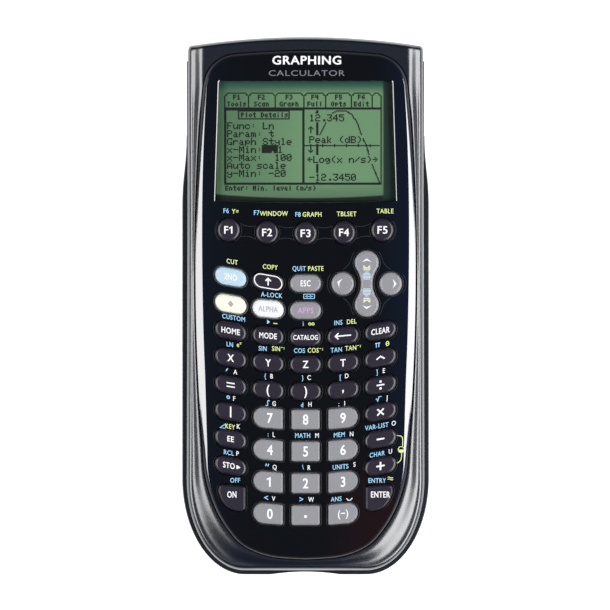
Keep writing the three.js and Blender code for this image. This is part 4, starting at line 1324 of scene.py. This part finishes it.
def build_backup_cover():
    x, y, radius = BACKUP["x"], BACKUP["y"], BACKUP["radius"]
    rim = circle(radius, 96)
    layers = [(turned(offset(rim, -0.3), x, y), BACK), (turned(offset(rim, -0.08), x, y), BACK + 0.1),
              (turned(rim, x, y), BACK + 0.3), (turned(rim, x, y), BACK + 0.8)]
    disc = loft("backup_cap", layers, [NAVY])
    add(disc, post(x, y, BACKUP["plug"], [BACK + 0.4, BACK + 1.9], 72))
    cut(disc, post(x, y + BACKUP["screw"], 1.1, [BACK - 1, BACK + 3]),
        prism(turned(rounded(6, 1.2, 0.5), x, y - 2), BACK - 1, BACK + 0.3))
    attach(disc, "case")
    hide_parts("backup_cell_cover")


def build_ports():
    """Plated shell and black tongue round the data socket; black nose and plated ring on the link jack."""
    skin = 0.06
    low = BOARD_UNDER - USB["height"]
    left, right = USB["x"] - USB["width"] / 2, USB["x"] + USB["width"] / 2
    wall = USB["shell"] + skin
    socket = loft("data_socket", box([left - skin, right + skin], [USB["low"], USB["high"] + skin],
                                     [low - skin, BOARD_UNDER - skin]), [STEEL])
    cut(socket, box([left + wall, right - wall], [USB["low"] + 1.5 + skin, USB["high"] + 1],
                    [low + wall, BOARD_UNDER - wall]))
    reach = USB["tongue"] + skin
    blade = box([USB["x"] - reach, USB["x"] + reach], [USB["low"] + 1, USB["high"] - 1.2 + skin],
                [low + 1.3 - skin, low + 2.1 + skin])
    tongue = loft("data_tongue", blade, [SOCKET])
    middle = BOARD_UNDER - JACK["height"] / 2
    end = JACK["end"]
    nose = loft("jack_nose", barrel(JACK["x"], middle, JACK["nose"] + skin, [end - 2, end + skin]), [SOCKET])
    rim = JACK["bore"] + 0.35
    collar = loft("jack_ring", barrel(JACK["x"], middle, rim, [end - 2, end + 0.12]), [STEEL])
    hole = barrel(JACK["x"], middle, JACK["bore"] - skin, [end - 3, end + 1])
    cut(nose, hole)
    cut(collar, hole)
    for piece in (socket, tongue, nose, collar):
        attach(piece, "case")


def dress_inside():
    """Finishes for the CAD nodes that stay: the rubber mat, the circuit board and the cells."""
    for node, material in (("keypad_mat", RUBBER), ("main_board", MASK), ("battery_set", WRAP)):
        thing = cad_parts[node]
        thing.data.materials.clear()
        thing.data.materials.append(material)


# ---------------------------------------------------------------- floor, light and camera


def light_world():
    """A sky that darkens upwards, dimmer towards both ends of the calculator."""
    world = bpy.data.worlds.new("studio")
    bpy.context.scene.world = world
    graph = Graph(world)
    split = graph.nodes.new("ShaderNodeSeparateXYZ")
    graph.put(split.inputs["Vector"], graph.add("TexCoord", output="Generated"))
    ramp = graph.nodes.new("ShaderNodeValToRGB")
    stops = ((0.1, (0.9, 0.92, 1.0, 1)), (0.6, (0.02, 0.02, 0.025, 1)))
    for stop, (position, colour) in zip(ramp.color_ramp.elements, stops):
        stop.position = position
        stop.color = colour
    graph.put(ramp.inputs["Fac"], split.outputs["Z"])
    size = graph.math("ABSOLUTE", split.outputs["Y"])
    run = {"Value": size, "From Min": 0.2, "From Max": 0.8, "To Min": 0.65, "To Max": 0.2}
    background = graph.nodes["Background"].inputs
    graph.put(background["Color"], ramp.outputs["Color"])
    graph.put(background["Strength"], graph.add("MapRange", run, "Result"))


def build_studio():
    pale = surface("floor_pale", srgb(235, 235, 235), 0.8, vary=0.01, bump=0.0, mottle=20,
                   Emission_Color=(1, 1, 1, 1), Emission_Strength=0.75)
    floor = loft("floor", box([-FLOOR_REACH, FLOOR_REACH], [-FLOOR_REACH, FLOOR_REACH], [-5, -0.02]), [pale])
    light_world()
    lights = [
        ("left_softbox", (-0.62, 0.0, 0.82), (0.8, 0.52), 6.4),
        ("right_softbox", (0.62, -0.13, 0.82), (1.15, 0.52), 11.0),
    ]
    for name, at, size, power in lights:
        data = bpy.data.lights.new(name, "AREA")
        data.shape = "RECTANGLE"
        data.size, data.size_y = size
        data.energy = power
        lamp = bpy.data.objects.new(name, data)
        lamp.location = at
        lamp.rotation_euler = (Vector((0, 0, 0.02)) - Vector(at)).to_track_quat("-Z", "Y").to_euler()
        bpy.context.scene.collection.objects.link(lamp)
    data = bpy.data.cameras.new("camera")
    data.sensor_width = 36
    data.lens = 207
    camera = bpy.data.objects.new("camera", data)
    camera.location = (-0.0002, 0.00055, 1.2 + PLATE_TOP * MM)
    bpy.context.scene.collection.objects.link(camera)
    bpy.context.scene.camera = camera
    bpy.context.scene.view_settings.view_transform = "Standard"


lay_out_keys()
build_keys()
face_print()
build_front()
build_plate()
build_window()
build_display()
build_cover()
build_back()
build_screws()
build_door()
build_backup_cover()
build_ports()
dress_inside()
build_studio()
